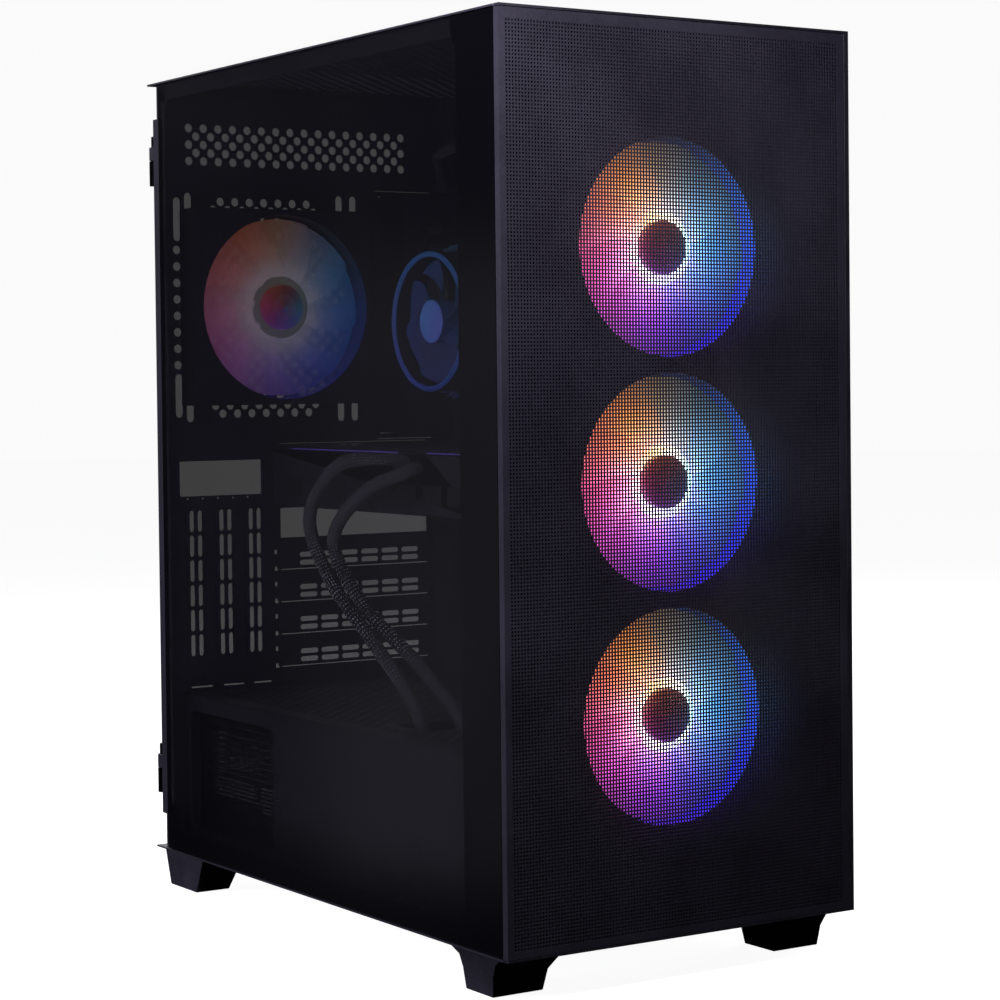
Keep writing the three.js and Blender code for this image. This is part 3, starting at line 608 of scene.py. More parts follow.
def litFan(name, node, look, light):
    # blades and hub wall, then the bright ring sunk behind the cap, then the cap nearest the viewer
    x, z, frontY, depth = light["x"], light["z"], light["frontY"], look["depth"]
    centre = (x, 0, z)
    blades, bladeFaces = bladeSet(look, look["bladeTip"], depth)
    blades = blades + np.array([x, frontY + 1 + depth / 2, z])
    ringY = frontY + look["capStep"]
    wall = lathe([(look["hub"], ringY), (look["hub"], frontY + 15.6), (look["hub"] - 1, frontY + 15.8),
                  (0.0, frontY + 15.8), (0.0, ringY + 1.2), (look["hub"] - 1.4, ringY + 1.2),
                  (look["hub"] - 0.6, ringY)], centre, "y", 64, closed=True)
    bladeLight = litPlastic(name + "_milky_blades", {**light["blade"], "centre": (x, 0, z)})
    ringLight = litPlastic(name + "_light_ring", {**light["ring"], "centre": (x, 0, z)})
    capLight = litPlastic(name + "_hub_cap", {**light["cap"], "centre": (x, 0, z)})
    addPiece(name + "_blades", merged((blades, bladeFaces), wall), bladeLight, light["body"],
             [node], smoothAngle=50)
    ring = lathe([(look["cap"] + 0.2, ringY + 0.9), (look["cap"] + 0.2, ringY + 0.1),
                  (look["cap"] + 1, ringY - 0.6), (look["hub"] - 1.6, ringY - 0.6),
                  (look["hub"] - 0.8, ringY + 0.1), (look["hub"] - 0.8, ringY + 0.9)], centre, "y", 64,
                 closed=True)
    addPiece(name + "_light_ring", ring, ringLight, light["body"], smoothAngle=50)
    r = look["cap"]
    cap = lathe([(0.0, ringY + 0.8), (r, ringY + 0.8), (r, frontY + 1.4), (r - 0.5, frontY + 0.6),
                 (r - 1.6, frontY + 0.2), (r * 0.56, frontY + 0.2), (r * 0.5, frontY + 0.7),
                 (0.0, frontY + 0.7)], centre, "y", 64)
    addPiece(name + "_hub_cap", cap, capLight, light["body"], smoothAngle=30)


frontBlade = {
    "base": "#2a2830", "hues": frontHues, "centreLight": "#ffe2f4", "radius": 54.0, "plane": "XZ",
    "strength": 10.0, "fade": [(0.0, 0.85), (0.34, 0.85), (0.42, 0.7), (0.6, 0.38), (0.8, 0.18), (1.0, 0.08)],
    "white": [(0.0, 0.4), (0.36, 0.2), (0.5, 0.08), (0.7, 0.0), (1.0, 0.0)],
}
frontRing = {
    "base": "#ffffff", "centreLight": "#ffffff", "radius": 20.0, "plane": "XZ", "strength": 7.0,
    "hues": ["#ffb0cc", "#f9c4ee", "#e9d4ff", "#d8ccff", "#c8dcff", "#b8ecff", "#a8f4ff", "#c4fbff",
             "#fff4e0", "#ffe2a0", "#ffc878", "#ffb8a0", "#ffb0cc"],
    "fade": [(0.0, 1.0), (1.0, 1.0)], "white": [(0.0, 0.1), (1.0, 0.1)],
}
frontCap = {
    "base": "#2a1420", "centreLight": "#3c1830", "radius": 14.0, "plane": "XZ", "strength": 0.8,
    "hues": ["#ff5c9c", "#e050c0", "#b860e8", "#a070ff", "#7c84ff", "#68a0ff", "#60a8e0", "#6c88a0",
             "#94606c", "#b85c48", "#d86848", "#f06070", "#ff5c9c"],
    "fade": [(0.0, 0.35), (0.55, 0.3), (0.9, 0.75), (1.0, 1.0)],
    "white": [(0.0, 0.6), (0.6, 0.5), (1.0, 0.0)],
}
rearBlade = {
    **frontBlade, "hues": rearHues, "strength": 2.1, "alpha": 0.6, "centreLight": "#f4ecff",
    "fade": [(0.0, 1.0), (0.45, 1.0), (0.7, 0.95), (0.9, 0.8), (1.0, 0.7)],
    "white": [(0.0, 1.0), (0.42, 0.7), (0.6, 0.25), (0.8, 0.06), (1.0, 0.0)],
}
rearRing = {**frontRing, "base": "#3a3a42", "strength": 0.6, "white": [(0.0, 0.6), (1.0, 0.6)]}
rearCap = {
    **frontCap, "strength": 1.5, "fade": [(0.0, 0.55), (0.5, 0.75), (0.62, 0.8), (1.0, 1.0)],
    "white": [(0.0, 0.25), (0.54, 0.25), (0.58, 0.0), (1.0, 0.0)], "centreLight": "#e0a8e0",
}

for index, node in enumerate(sorted(n for n in frame["nodes"] if n.startswith("front_fan_rotor"))):
    low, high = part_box(node)
    middle = (low + high) / 2 / mm
    litFan("front_fan_" + str(index + 1), node, fanLook, {
        "x": middle.x, "z": round(middle.z), "frontY": low.y / mm, "body": bodyOf(node), "blade": frontBlade,
        "ring": frontRing, "cap": frontCap})
rearLow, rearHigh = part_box("rear_fan_frame")
rearCentre = (rearLow + rearHigh) / 2 / mm
litFan("rear_fan", "rear_fan_rotor", fanLook, {
    "x": rearCentre.x, "z": rearCentre.z, "frontY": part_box("rear_fan_rotor")[0].y / mm, "body": "rear_rotor",
    "blade": rearBlade, "ring": rearRing, "cap": rearCap})
# The frame is black outside. The blades' light on its bore is painted on as a glow, strongest where they are
# blue, and on the front frames a weaker painted spill of it reaches past the bore onto the face.
paintedBoreHues = ["#402048", "#401c60", "#4a1c90", "#3c20c8", "#2c30e8", "#2048e0", "#2054c8", "#244468",
            "#1c2028", "#302018", "#402418", "#402028", "#402048"]
paintedSpillHues = ["#000000", "#100820", "#301068", "#4018a0", "#3020e0", "#2030f0", "#2048e8", "#1c50b0",
             "#182c58", "#080c10", "#000000", "#000000", "#000000"]
paintedBoreGlow = {
    "base": "#15151a", "hues": paintedBoreHues, "centreLight": "#000000", "radius": 57.6, "plane": "XZ",
    "strength": 1.0, "fade": [(0.0, 1.0), (0.982, 1.0), (0.99, 0.0)], "white": [(0.0, 0.0), (1.0, 0.0)],
}
paintedSpillGlow = {
    **paintedBoreGlow, "hues": paintedSpillHues, "radius": 72.0, "strength": 2.6,
    "fade": [(0.0, 1.0), (0.79, 1.0), (0.8, 0.32), (0.88, 0.12), (1.0, 0.0)],
}
for node in ("front_fan_frame_1", "front_fan_frame_2", "front_fan_frame_3", "rear_fan_frame"):
    low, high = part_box(node)
    middle = (low + high) / 2 / mm
    # painted light: the blades' glow on the bore only at the rear, and spilling onto the face at the front
    glow = paintedSpillGlow if node.startswith("front") else paintedBoreGlow
    paintedFrameGlow = litPlastic(node + "_plastic", {**glow, "centre": (middle.x, 0, middle.z)})
    rounded(node, paintedFrameGlow, 0.5)
print("fans done")

# ---- rear panel ----

rearLook = {
    "y": (189.5, 190.5), "halfWidth": 105.6, "low": 23.3, "high": 486.7, "pitch": 10.06, "hole": 2.7,
    "vent": {"left": -85.7, "right": 65.3, "low": 442.2, "high": 462.4},
    "fan": {"x": -34.5, "z": 352.4, "halfWidth": 65.4, "halfHeight": 70.5, "corner": 105.0, "rows": (-66, 66),
            "columns": (-62, 66)},
    "mountSlots": [(-94.5, 54.0, 11.0), (-87.0, 62.0, 6.0), (19.0, 57.0, 12.0), (29.0, 57.0, 12.0)],
    "mountRadius": 2.5, "mountGap": 3.2,
    "openings": [((44.6, 269.1), (89, 427.9), 0.8), ((-95, 236.6), (-38.8, 258.1), 0.8),
                 ((-78, 31), (60, 109), 2)],
    "dots": {"x": -89.6, "step": 10.3, "count": 5, "z": 235.0, "radius": 0.8},
    "slots": {"left": -25.7, "right": 81.6, "low": 127.2, "pitch": 20.32, "height": 18.7, "count": 7},
    "uprightSlots": {"x": -87.1, "pitch": 20.32, "count": 3, "low": 144.7, "step": 15.3, "rows": 6,
                     "pair": (0, 5.5), "halfLength": 5.1, "radius": 1.6,
                     "seam": ((-4.6, 135.0), (-4.1, 230.0))},
    "squares": {"x": (-30.2, -27.4), "half": 1.4, "corner": 0.4,
                "levels": (199.8, 189.2, 179.5, 168.9, 159.2, 148.6, 138.9, 128.3)},
    "slits": {"z": 118.9, "half": 0.5, "ends": [(-88.7, -74), (-66.6, -52.5), (-45.6, -33.2)]},
    "sheet": 1.0,
}
# Where the cups stand that catch the door's studs.
socketLook = {"frontY": -156.5, "rearY": 182.3, "levels": (480.0, 31.0), "radius": 4.4}


def rearHoles(look):
    # every outline cut from the rear wall: the vents, the fan's holes and slots, the openings and the slits
    vent, fan, slots, upright = look["vent"], look["fan"], look["slots"], look["uprightSlots"]
    dots, squares, slits = look["dots"], look["squares"], look["slits"]
    ventCentres = staggered(vent["left"], vent["right"], vent["low"], vent["high"], look["pitch"])
    holes = discs(ventCentres, look["hole"])
    half = look["pitch"] / 2
    across = math.floor(fan["halfWidth"] / half) * half
    upwards = math.floor(fan["halfHeight"] / half) * half
    lattice = staggered(-across, across, -upwards, upwards, look["pitch"],
                        lambda x, z: (np.abs(x) + np.abs(z) <= fan["corner"]) & (z > fan["rows"][0])
                        & (z < fan["rows"][1]) & (x > fan["columns"][0]))
    lattice = lattice + np.array([fan["x"], fan["z"]])
    for x, away, halfLength in look["mountSlots"]:
        for z in (fan["z"] + away, fan["z"] - away):
            holes += stadiums([(x, z)], halfLength, look["mountRadius"], True)
            past = np.maximum(np.abs(lattice[:, 1] - z) - halfLength, 0)
            lattice = lattice[np.hypot(lattice[:, 0] - x, past) > look["hole"] + look["mountGap"]]
    holes += discs(lattice, look["hole"])
    holes += [rectangle(low, high, corner) for low, high, corner in look["openings"]]
    dotCentres = [(dots["x"] + dots["step"] * i, dots["z"]) for i in range(dots["count"])]
    holes += discs(dotCentres, dots["radius"], 8)
    for i in range(slots["count"]):
        z = slots["low"] + slots["pitch"] * i
        holes.append(rectangle((slots["left"], z), (slots["right"], z + slots["height"]), 0.5))
    for i in range(upright["count"]):
        x = upright["x"] + upright["pitch"] * i
        rows = [(x + aside, upright["low"] + upright["step"] * row)
                for aside in upright["pair"] for row in range(upright["rows"])]
        holes += stadiums(rows, upright["halfLength"], upright["radius"], True)
        seamLow, seamHigh = upright["seam"]
        holes.append(rectangle((x + seamLow[0], seamLow[1]), (x + seamHigh[0], seamHigh[1])))
    left, right = squares["x"]
    holes += [rectangle((left, z - squares["half"]), (right, z + squares["half"]), squares["corner"])
              for z in squares["levels"]]
    z, half = slits["z"], slits["half"]
    holes += [rectangle((a, z - half), (b, z + half)) for a, b in slits["ends"]]
    return holes


def rearFlange(look, side):
    # the folded edge with its two lugs, for either side; only the left one has the round sockets
    edge = np.array([
        (175.8, 23.3), (190.5, 23.3), (190.5, 486.7), (175.8, 486.7), (175.8, 475.0), (177.3, 473.5),
        (180.2, 473.5), (180.2, 37.5), (177.3, 37.5), (175.8, 36.0)])
    sockets = [(socketLook["rearY"], z) for z in socketLook["levels"]]
    holes = discs(sockets, socketLook["radius"], 20) if side < 0 else []
    low, high = sorted((side * look["halfWidth"], side * (look["halfWidth"] + look["sheet"])))
    return punched(edge, holes, low, high, "x")


rearOutline = rectangle((-rearLook["halfWidth"], rearLook["low"]), (rearLook["halfWidth"], rearLook["high"]))
rearSheet = punched(rearOutline, rearHoles(rearLook), *rearLook["y"], "y")
addPiece("rear_panel_sheet", merged(rearSheet, rearFlange(rearLook, -1), rearFlange(rearLook, 1)), powderCoat,
         "chassis", ["rear_panel"], smoothAngle=30)
print("rear panel done")

# ---- expansion slot covers ----

coverLook = {
    "count": 4, "x": -6.7, "pitch": 14.9, "columns": 6, "rows": (3.5, 8.5), "halfLength": 4.9, "radius": 1.6,
    "corner": 0.8,
}


def slotCover(node, look):
    # the CAD cover's plate with its twelve slots round-ended
    low, high = (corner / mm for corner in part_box(node))
    slots = [(look["x"] + look["pitch"] * column, low.z + row)
             for column in range(look["columns"]) for row in look["rows"]]
    outline = rectangle((low.x, low.z), (high.x, high.z), look["corner"])
    return punched(outline, stadiums(slots, look["halfLength"], look["radius"], False), low.y, high.y, "y")


for index in range(coverLook["count"]):
    node = "slot_cover_" + str(index + 1)
    addPiece(node + "_plate", slotCover(node, coverLook), powderCoat, "chassis",
             [node])

# ---- roof, roof filter, floor and supply shroud ----

roofLook = {
    "z": (487.0, 488.0), "y": (-192.8, 197.5), "halfWidth": 110.0, "corner": 1.5, "pitch": 10.06, "hole": 2.8,
    "field": (-90.5, 90.6, -137, 164.9), "controls": ((4.7, -184.3), (100.3, -156.7), 2),
    "beamX": (105.6, 106.6), "beamY": (-149.4, 175.4), "beamZ": (477.2, 486.98),
}


def roofSheet(look):
    # the roof with its field of staggered holes under the filter, and the two beams folded down from it
    outline = rectangle((-look["halfWidth"], look["y"][0]), (look["halfWidth"], look["y"][1]), look["corner"])
    holes = discs(staggered(*look["field"], look["pitch"]), look["hole"], 10)
    holes.append(rectangle(*look["controls"]))
    sheetShape = punched(outline, holes, *look["z"], "z")
    (near, far), (front, back), (low, high) = look["beamX"], look["beamY"], look["beamZ"]
    beams = boxes([(-far, front, low), (near, front, low)], [(-near, back, high), (far, back, high)])
    return merged(sheetShape, beams)


addPiece("roof_sheet", roofSheet(roofLook), powderCoat, "chassis", ["top_panel"])

filterLook = {
    "rim": ((-101, -146), (101, 78), 4), "rimHole": ((-95, -140), (95, 72), 3), "rimZ": (488.2, 490.4),
    "grid": ((-95.1, -140.1), (95.1, 72.1), 3), "gridZ": (488.25, 489.6),
    "windowsX": (-93.5, 1.0), "windowsY": (-138.5, -68.4, 1.7), "window": (92.5, 68.6), "windowCorner": 2,
    "screenLow": (-94.5, -139.5), "screenHigh": (94.5, 71.5), "screenZ": (488.6, 488.95), "pitch": 1.7,
    "bar": 0.55,
}


def filterFrameShape(look):
    # a raised rim, and inside it a thinner grid that leaves six round-cornered windows
    rim = punched(rectangle(*look["rim"]), [rectangle(*look["rimHole"])], *look["rimZ"], "z")
    width, length = look["window"]
    windows = [rectangle((a, b), (a + width, b + length), look["windowCorner"])
               for a in look["windowsX"] for b in look["windowsY"]]
    return merged(rim, punched(rectangle(*look["grid"]), windows, *look["gridZ"], "z"))


def filterScreen(look):
    # a woven dust screen as two crossing sets of thin bars
    low, high, pitch, bar = look["screenLow"], look["screenHigh"], look["pitch"], look["bar"]
    z0, z1 = look["screenZ"]
    x = np.arange(low[0], high[0], pitch)
    y = np.arange(low[1], high[1], pitch)
    along = boxes(np.stack([x - bar / 2, low[1] + 0 * x, z0 + 0 * x], -1),
                  np.stack([x + bar / 2, high[1] + 0 * x, z1 + 0 * x], -1))
    across = boxes(np.stack([low[0] + 0 * y, y - bar / 2, z0 + 0.05 + 0 * y], -1),
                   np.stack([high[0] + 0 * y, y + bar / 2, z1 - 0.05 + 0 * y], -1))
    return merged(along, across)


addPiece("roof_filter_frame", filterFrameShape(filterLook), absPlastic, "roof_filter",
         ["top_filter"], bevel=0.4)
addPiece("roof_filter_screen", filterScreen(filterLook), absPlastic, "roof_filter",
         tidy=False)

shroudLook = {
    "roofZ": (115.0, 116.0), "x": (-95.0, 91.7), "y": (-152.4, 187.9), "low": 23.3,
    "wallTop": 115.4, "window": ((73, 35), (180, 106.5)), "corner": 5.0, "field": (-80, 81, -140, 171),
    "pitch": 10.06, "hole": 2.7, "cableWays": [(-66, -26, -52, -16), (30, 74, -52, -16)], "wayCorner": 4,
    "wayGap": 5,
}


def supplyShroudShape(look):
    # the shroud's wall with its round-cornered window, and its roof with staggered holes and cable openings
    (left, right), (front, back) = look["x"], look["y"]
    wall = punched(rectangle((front, look["low"]), (back, look["wallTop"])),
                   [rectangle(*look["window"], look["corner"])], left, left + 1, "x")
    gap = look["wayGap"]

    def clear(x, y):
        free = np.ones(len(x), bool)
        for x0, x1, y0, y1 in look["cableWays"]:
            free &= (x < x0 - gap) | (x > x1 + gap) | (y < y0 - gap) | (y > y1 + gap)
        return free

    holes = discs(staggered(*look["field"], look["pitch"], clear), look["hole"], 10)
    holes += [rectangle((x0, y0), (x1, y1), look["wayCorner"]) for x0, x1, y0, y1 in look["cableWays"]]
    roof = punched(rectangle((left, front), (right, back)), holes, *look["roofZ"], "z")
    return merged(wall, roof)


addPiece("supply_shroud_sheet", supplyShroudShape(shroudLook), powderCoat, "chassis",
         ["supply_shroud"])
rounded("front_frame", powderCoat, 0.2)
rounded("right_side_panel", powderCoat, 0.3)
rounded("door_rail", powderCoat, 0.15)
rounded("bottom_filter", absPlastic, 0.3)
for node in ("bottom_panel", "motherboard_tray", "drive_cage"):
    paintNode(node, powderCoat)
print("chassis done")

# ---- door, hinges, sockets ----

paintNode("glass_door", doorGlass)
for node in ("hinge_upper", "hinge_lower"):
    rounded(node, blackNickel, 0.25, 50)
for node in ("door_stud_upper", "door_stud_lower"):
    rounded(node, absPlastic, 0.4, 50)


def socketCup(y, z):
    # a rubber cup in a round hole: its lip stands proud of the sheet and its mouth narrows inwards
    profile = [(4.4, -106.4), (4.4, -106.9), (3.9, -106.95), (3.1, -106.6), (2.8, -105.0), (2.8, -102.0),
               (4.2, -102.0), (4.2, -106.4)]
    return lathe(profile, (0, y, z), "x", 28, closed=True)


cups = merged(*[socketCup(y, z) for y in (socketLook["frontY"], socketLook["rearY"])
                for z in socketLook["levels"]])
addPiece("catch_sockets", cups, soleRubber, "chassis", smoothAngle=50)


def thumbScrew(node, teeth):
    # a screw head turned about its axis, its rim waved into a knurl, with a dimple in its end
    low, high = (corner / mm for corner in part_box(node))
    x, z = (low.x + high.x) / 2, (low.z + high.z) / 2
    profile = [(0.0, low.y), (4.3, low.y), (4.6, low.y + 0.4), (4.6, high.y - 0.5), (4.2, high.y - 0.05),
               (2.6, high.y - 0.05), (2.2, high.y - 0.6), (0.0, high.y - 1.2)]
    return lathe(profile, (x, 0, z), "y", 96, radiusWave=lambda a: 1 + 0.02 * np.cos(teeth * a))


for node in ("side_screw_upper", "side_screw_lower"):
    addPiece(node + "_knurled", thumbScrew(node, 24), blackNickel, bodyOf(node), [node])


def screwHeads(centres, look):
    # low domed heads with a dimple, one at each centre, standing on a wall that faces the rear
    r = look["radius"]
    profile = np.array([(0.0, 0.0), (r, 0.0), (r, 0.5), (r * 0.8, 1.1), (r * 0.45, 1.3), (r * 0.35, 0.8),
                        (0.0, 0.7)])
    profile = profile + (0.0, look["wallY"])
    return merged(*[lathe(profile, (x, 0, z), "y", 20) for x, z in centres])


fanScrews = {"x": -33, "z": 352.4, "reach": 52.5, "wallY": 190.5, "radius": 3.0}
supplyScrews = {"x": (-72.5, 54.5), "z": (103.5, 36.5), "wallY": 189.2, "radius": 2.6}
fanCorners = [(fanScrews["x"] + i * fanScrews["reach"], fanScrews["z"] + j * fanScrews["reach"])
              for i in (-1, 1) for j in (-1, 1)]
supplyCorners = [(x, z) for z in supplyScrews["z"] for x in supplyScrews["x"]]
addPiece("rear_screws", screwHeads(fanCorners, fanScrews), blackNickel, "chassis",
         smoothAngle=50)
addPiece("supply_screws", screwHeads(supplyCorners, supplyScrews), blackNickel, "chassis",
         smoothAngle=50)

# ---- feet ----

for node in ("foot_front_left", "foot_front_right", "foot_rear_left", "foot_rear_right"):
    rounded(node, footPlastic, 0.5, 30)
print("door, screws and feet done")

# ---- power supply ----

rounded("power_supply", supplyEnamel, 0.6)
rounded("power_supply_switch", polishedPlastic, 0.5, 50)
rounded("power_supply_rotor", absPlastic, 0.2, 50)


grilleLook = {
    "field": (-73, 55, 36.5, 105), "pitch": 7.0, "hole": 2.1, "screwGap": 7, "y": (189.25, 189.75),
    "outline": ((-77.6, 31.4), (59.6, 108.6), 2), "inlet": ((-66.5, 51.5), (-38.5, 72.5), 3),
    "switch": ((-32.5, 50.5), (-17.5, 73.5), 1), "plainRight": -11, "plainZ": (44, 79),
}
inletPins = {"x": (-61, -54, -47), "low": (60, 57, 60), "width": 2, "height": 5, "y": (177, 186)}


def supplyGrille(look):
    # the supply's rear wall: a thin sheet with staggered holes round the inlet and the switch
    plainLow, plainHigh = look["plainZ"]

    def clear(x, z):
        return (x > look["plainRight"]) | (z > plainHigh) | (z < plainLow)

    centres = staggered(*look["field"], look["pitch"], clear)
    for x, z in supplyCorners:
        centres = centres[np.hypot(centres[:, 0] - x, centres[:, 1] - z) >= look["screwGap"]]
    holes = discs(centres, look["hole"], 8)
    holes += [rectangle(*look["inlet"]), rectangle(*look["switch"])]
    return punched(rectangle(*look["outline"]), holes, *look["y"], "y")


def inletPinShape(look):
    # three flat blades side by side, the middle one lower
    (front, back), places = look["y"], list(zip(look["x"], look["low"]))
    return boxes([(x, front, z) for x, z in places],
                 [(x + look["width"], back, z + look["height"]) for x, z in places])


addPiece("supply_rear_grille", supplyGrille(grilleLook), powderCoat, "chassis")
addPiece("supply_inlet_pins", inletPinShape(inletPins), zincPlate, "chassis", bevel=0.3)

labelLook = {
    "x": -84.2, "ink": 0.12, "line": 0.35, "bar": 1.1, "y": (92.0, 168.0),
    "levels": (99, 93.5, 89.4, 85.5, 81.8, 78.0, 74.3, 70.6),
    "posts": [(152, 70.6, 99), (139, 74.3, 85.5), (126, 74.3, 85.5), (113, 70.6, 89.4)],
    "rowStep": 3.72, "smallStep": 2.4,
}


def ratingLabel(look):
    # a printed table without lettering: ruled lines and short bars standing for its entries.
    # Each mark is a flat box from one y to another, at a height and with a thickness of ink.
    def inked(y0, y1, z0, z1):
        y0, y1, z0, z1 = np.broadcast_arrays(y0, y1, z0, z1)
        x = np.full(y0.shape, look["x"])
        return boxes(np.stack([x, y0, z0], -1), np.stack([x + look["ink"], y1, z1], -1))

    levels, posts = np.array(look["levels"]), np.array(look["posts"])
    rows = inked(look["y"][0], look["y"][1], levels, levels + look["line"])
    uprights = inked(posts[:, 0], posts[:, 0] + look["line"], posts[:, 1], posts[:, 2])
    step, small = look["rowStep"], look["smallStep"]
    marks = [(155 + (i % 3), 163, 71.9 + step * i) for i in range(7)]
    marks += [(143 - 13 * j, 148 - 13 * j, 75.6 + step * i) for j in range(3) for i in range(2)]
    marks += [(118 - 2 * i, 165, 66 - small * i) for i in range(5)]
    marks += [(94, 108, 66 - small * i) for i in range(7)]
    marks = np.array(marks)
    entries = inked(marks[:, 0], marks[:, 1], marks[:, 2], marks[:, 2] + look["bar"])
    return merged(rows, uprights, entries)


# Screen-printed ink: a matt light grey film.
labelInk = grainy("printed_ink", {"dark": "#26262b", "light": "#303036", "rough": (0.6, 0.75), "grain": 1.5,
                                  "cloud": 12, "bump": 0.05, "height": 0.02})
addPiece("supply_label_lines", ratingLabel(labelLook), labelInk, "chassis", tidy=False)
print("power supply done")

# ---- motherboard and cooler ----

rounded("motherboard", boardMask, 0.15)
for node in ("memory_module_1", "memory_module_2"):
    rounded(node, polishedPlastic, 0.5)
rounded("regulator_heatsink", blackAnodised, 0.5)
rounded("port_block", zincPlate, 0.2)
paintNode("port_shield", zincPlate)
rounded("hard_drive", blastedAluminium, 0.8)

coolerLook = {
    "y": 76.5, "z": 341.5, "fins": 44, "inner": 18.5, "outer": 46.6, "x": (36.0, 72.0), "hook": 0.42,
    "halfFin": 0.55,
}
coolerCentre = (0, coolerLook["y"], coolerLook["z"])
# keepClear lists the fields of the board, as y and z ranges, that larger parts cover.
partsLook = {
    "seed": 7, "chips": 70, "faceX": 84.0, "y": (-52, 180), "z": (134, 426), "coolerReach": 52,
    "keepClear": [(128, 999, 262, 999), (-60, 16, 290, 999), (34, 132, -999, 272), (-44, 0, 146, 194),
                  (-999, 999, -999, 136)],
    "width": (1.5, 7), "tall": (1.2, 5), "thick": (0.6, 1.8), "sunk": 0.1,
}


def boardParts(look):
    # small chips and choke blocks scattered over the free board, each a low box on its face
    rng = np.random.default_rng(look["seed"])
    y = rng.uniform(*look["y"], look["chips"] * 4)
    z = rng.uniform(*look["z"], look["chips"] * 4)
    taken = np.hypot(y - coolerLook["y"], z - coolerLook["z"]) < look["coolerReach"]
    for y0, y1, z0, z1 in look["keepClear"]:
        taken |= (y > y0) & (y < y1) & (z > z0) & (z < z1)
    y, z = y[~taken][:look["chips"]], z[~taken][:look["chips"]]
    width, tall = rng.uniform(*look["width"], len(y)), rng.uniform(*look["tall"], len(y))
    thick = rng.uniform(*look["thick"], len(y))
    x = np.full(len(y), look["faceX"] + look["sunk"])
    return boxes(np.stack([x - look["sunk"] - thick, y - width / 2, z - tall / 2], -1),
                 np.stack([x, y + width / 2, z + tall / 2], -1))


addPiece("board_small_parts", boardParts(partsLook), polishedPlastic, "chassis", bevel=0.15)

chokeLook = {
    "x": (77.5, 84.1), "half": 4.5,
    "places": [(124.5, 300 + 15 * i) for i in range(7)] + [(118 - 13 * i, 402) for i in range(4)],
}
capacitorLook = {
    "profile": [(0.0, 84.1), (3.2, 84.1), (3.2, 76.8), (2.9, 76.3), (0.0, 76.3)],
    "places": [(110 - 9 * i, 410) for i in range(6)] + [(134, 292 - 9 * i) for i in range(3)]
              + [(-30, 210), (-30, 222)],
}


def chokeBlocks(look):
    # one square block centred at each place
    (low, high), half = look["x"], look["half"]
    return boxes([(low, y - half, z - half) for y, z in look["places"]],
                 [(high, y + half, z + half) for y, z in look["places"]])


def capacitorCans(look):
    # one can with a rounded rim at each place
    return merged(*[lathe(look["profile"], (0, y, z), "x", 20) for y, z in look["places"]])


addPiece("board_chokes", chokeBlocks(chokeLook), blackAnodised, "chassis", bevel=0.7)
addPiece("board_capacitors", capacitorCans(capacitorLook), blastedAluminium, "chassis",
         smoothAngle=40)


def hookedFins(look):
    # thin fins round the core: each runs outwards and curls round near its tip, and is carried along the axis
    outward = np.linspace(0, 1, 10)
    radius = look["inner"] + (look["outer"] - look["inner"]) * outward
    curl = look["hook"] * outward ** 3
    shapes = []
    for i in range(look["fins"]):
        angle = 2 * math.pi * i / look["fins"] + curl
        half = look["halfFin"] / radius
        loop = np.concatenate([np.stack([radius, angle - half], -1),
                               np.stack([radius, angle + half], -1)[::-1]])
        points = []
        for x in look["x"]:
            points.append(np.stack([np.full(len(loop), x), look["y"] + loop[:, 0] * np.cos(loop[:, 1]),
                                    look["z"] + loop[:, 0] * np.sin(loop[:, 1])], -1))
        count = len(loop)
        strip = np.arange(len(outward) - 1)
        cap = np.stack([strip, strip + 1, count - 2 - strip, count - 1 - strip], -1)
        shapes.append((np.concatenate(points), [gridFaces(2, count), cap, cap[:, ::-1] + count]))
    core = lathe([(0.0, 34), (18.8, 34), (18.8, 70), (30, 70), (30, 78.6), (0.0, 78.6)],
                 coolerCentre, "x", 48)
    return merged(core, *shapes)


coolerHues = ["#4aa0ff", "#3f7cff", "#4a5cff", "#6a58ff", "#5a7cff", "#4aa0ff", "#58b8ff", "#50a8ff",
              "#4aa0ff"]
coolerRingLight = litPlastic("cooler_ring_polycarbonate", {
    "base": "#1c3c78", "hues": coolerHues, "centreLight": "#90c8ff", "radius": 42.0, "plane": "YZ",
    "centre": coolerCentre, "strength": 0.75, "fade": [(0.0, 1.0), (1.0, 1.0)],
    "white": [(0.0, 0.1), (1.0, 0.1)]})
# Aluminium fins, with the ring's blue light on their outer hooks painted on as a glow.
finPaintedLight = litPlastic("fins_with_painted_blue_light", {
    "base": "#54565c", "hues": coolerHues, "centreLight": "#000000", "radius": 46.6, "plane": "YZ",
    "centre": coolerCentre, "strength": 0.4, "fade": [(0.0, 0.0), (0.88, 0.0), (0.95, 0.6), (1.0, 1.0)],
    "white": [(0.0, 0.0), (1.0, 0.0)]})
addPiece("cooler_finned_core", hookedFins(coolerLook), finPaintedLight, "chassis",
         ["cooler_heatsink"])
coolerBladeLight = litPlastic("cooler_smoked_blades", {
    "base": "#20305c", "hues": coolerHues, "centreLight": "#8cb8ff", "radius": 38.0, "plane": "YZ",
    "centre": coolerCentre, "strength": 0.22, "fade": [(0.0, 1.0), (0.5, 0.6), (1.0, 0.9)],
    "white": [(0.0, 0.2), (1.0, 0.0)]})
coolerCapHues = ["#9a70ff", "#8a7cff", "#7c98ff", "#70b0ff", "#6cc4ff", "#68c8ff", "#6cb4ff", "#8090ff",
                 "#9a70ff"]
coolerCapLight = litPlastic("cooler_hub_cap", {
    "base": "#3858a0", "hues": coolerCapHues, "centreLight": "#a8d4ff", "radius": 13.0, "plane": "YZ",
    "centre": coolerCentre, "strength": 0.85, "fade": [(0.0, 0.9), (1.0, 1.0)],
    "white": [(0.0, 0.5), (1.0, 0.0)]})
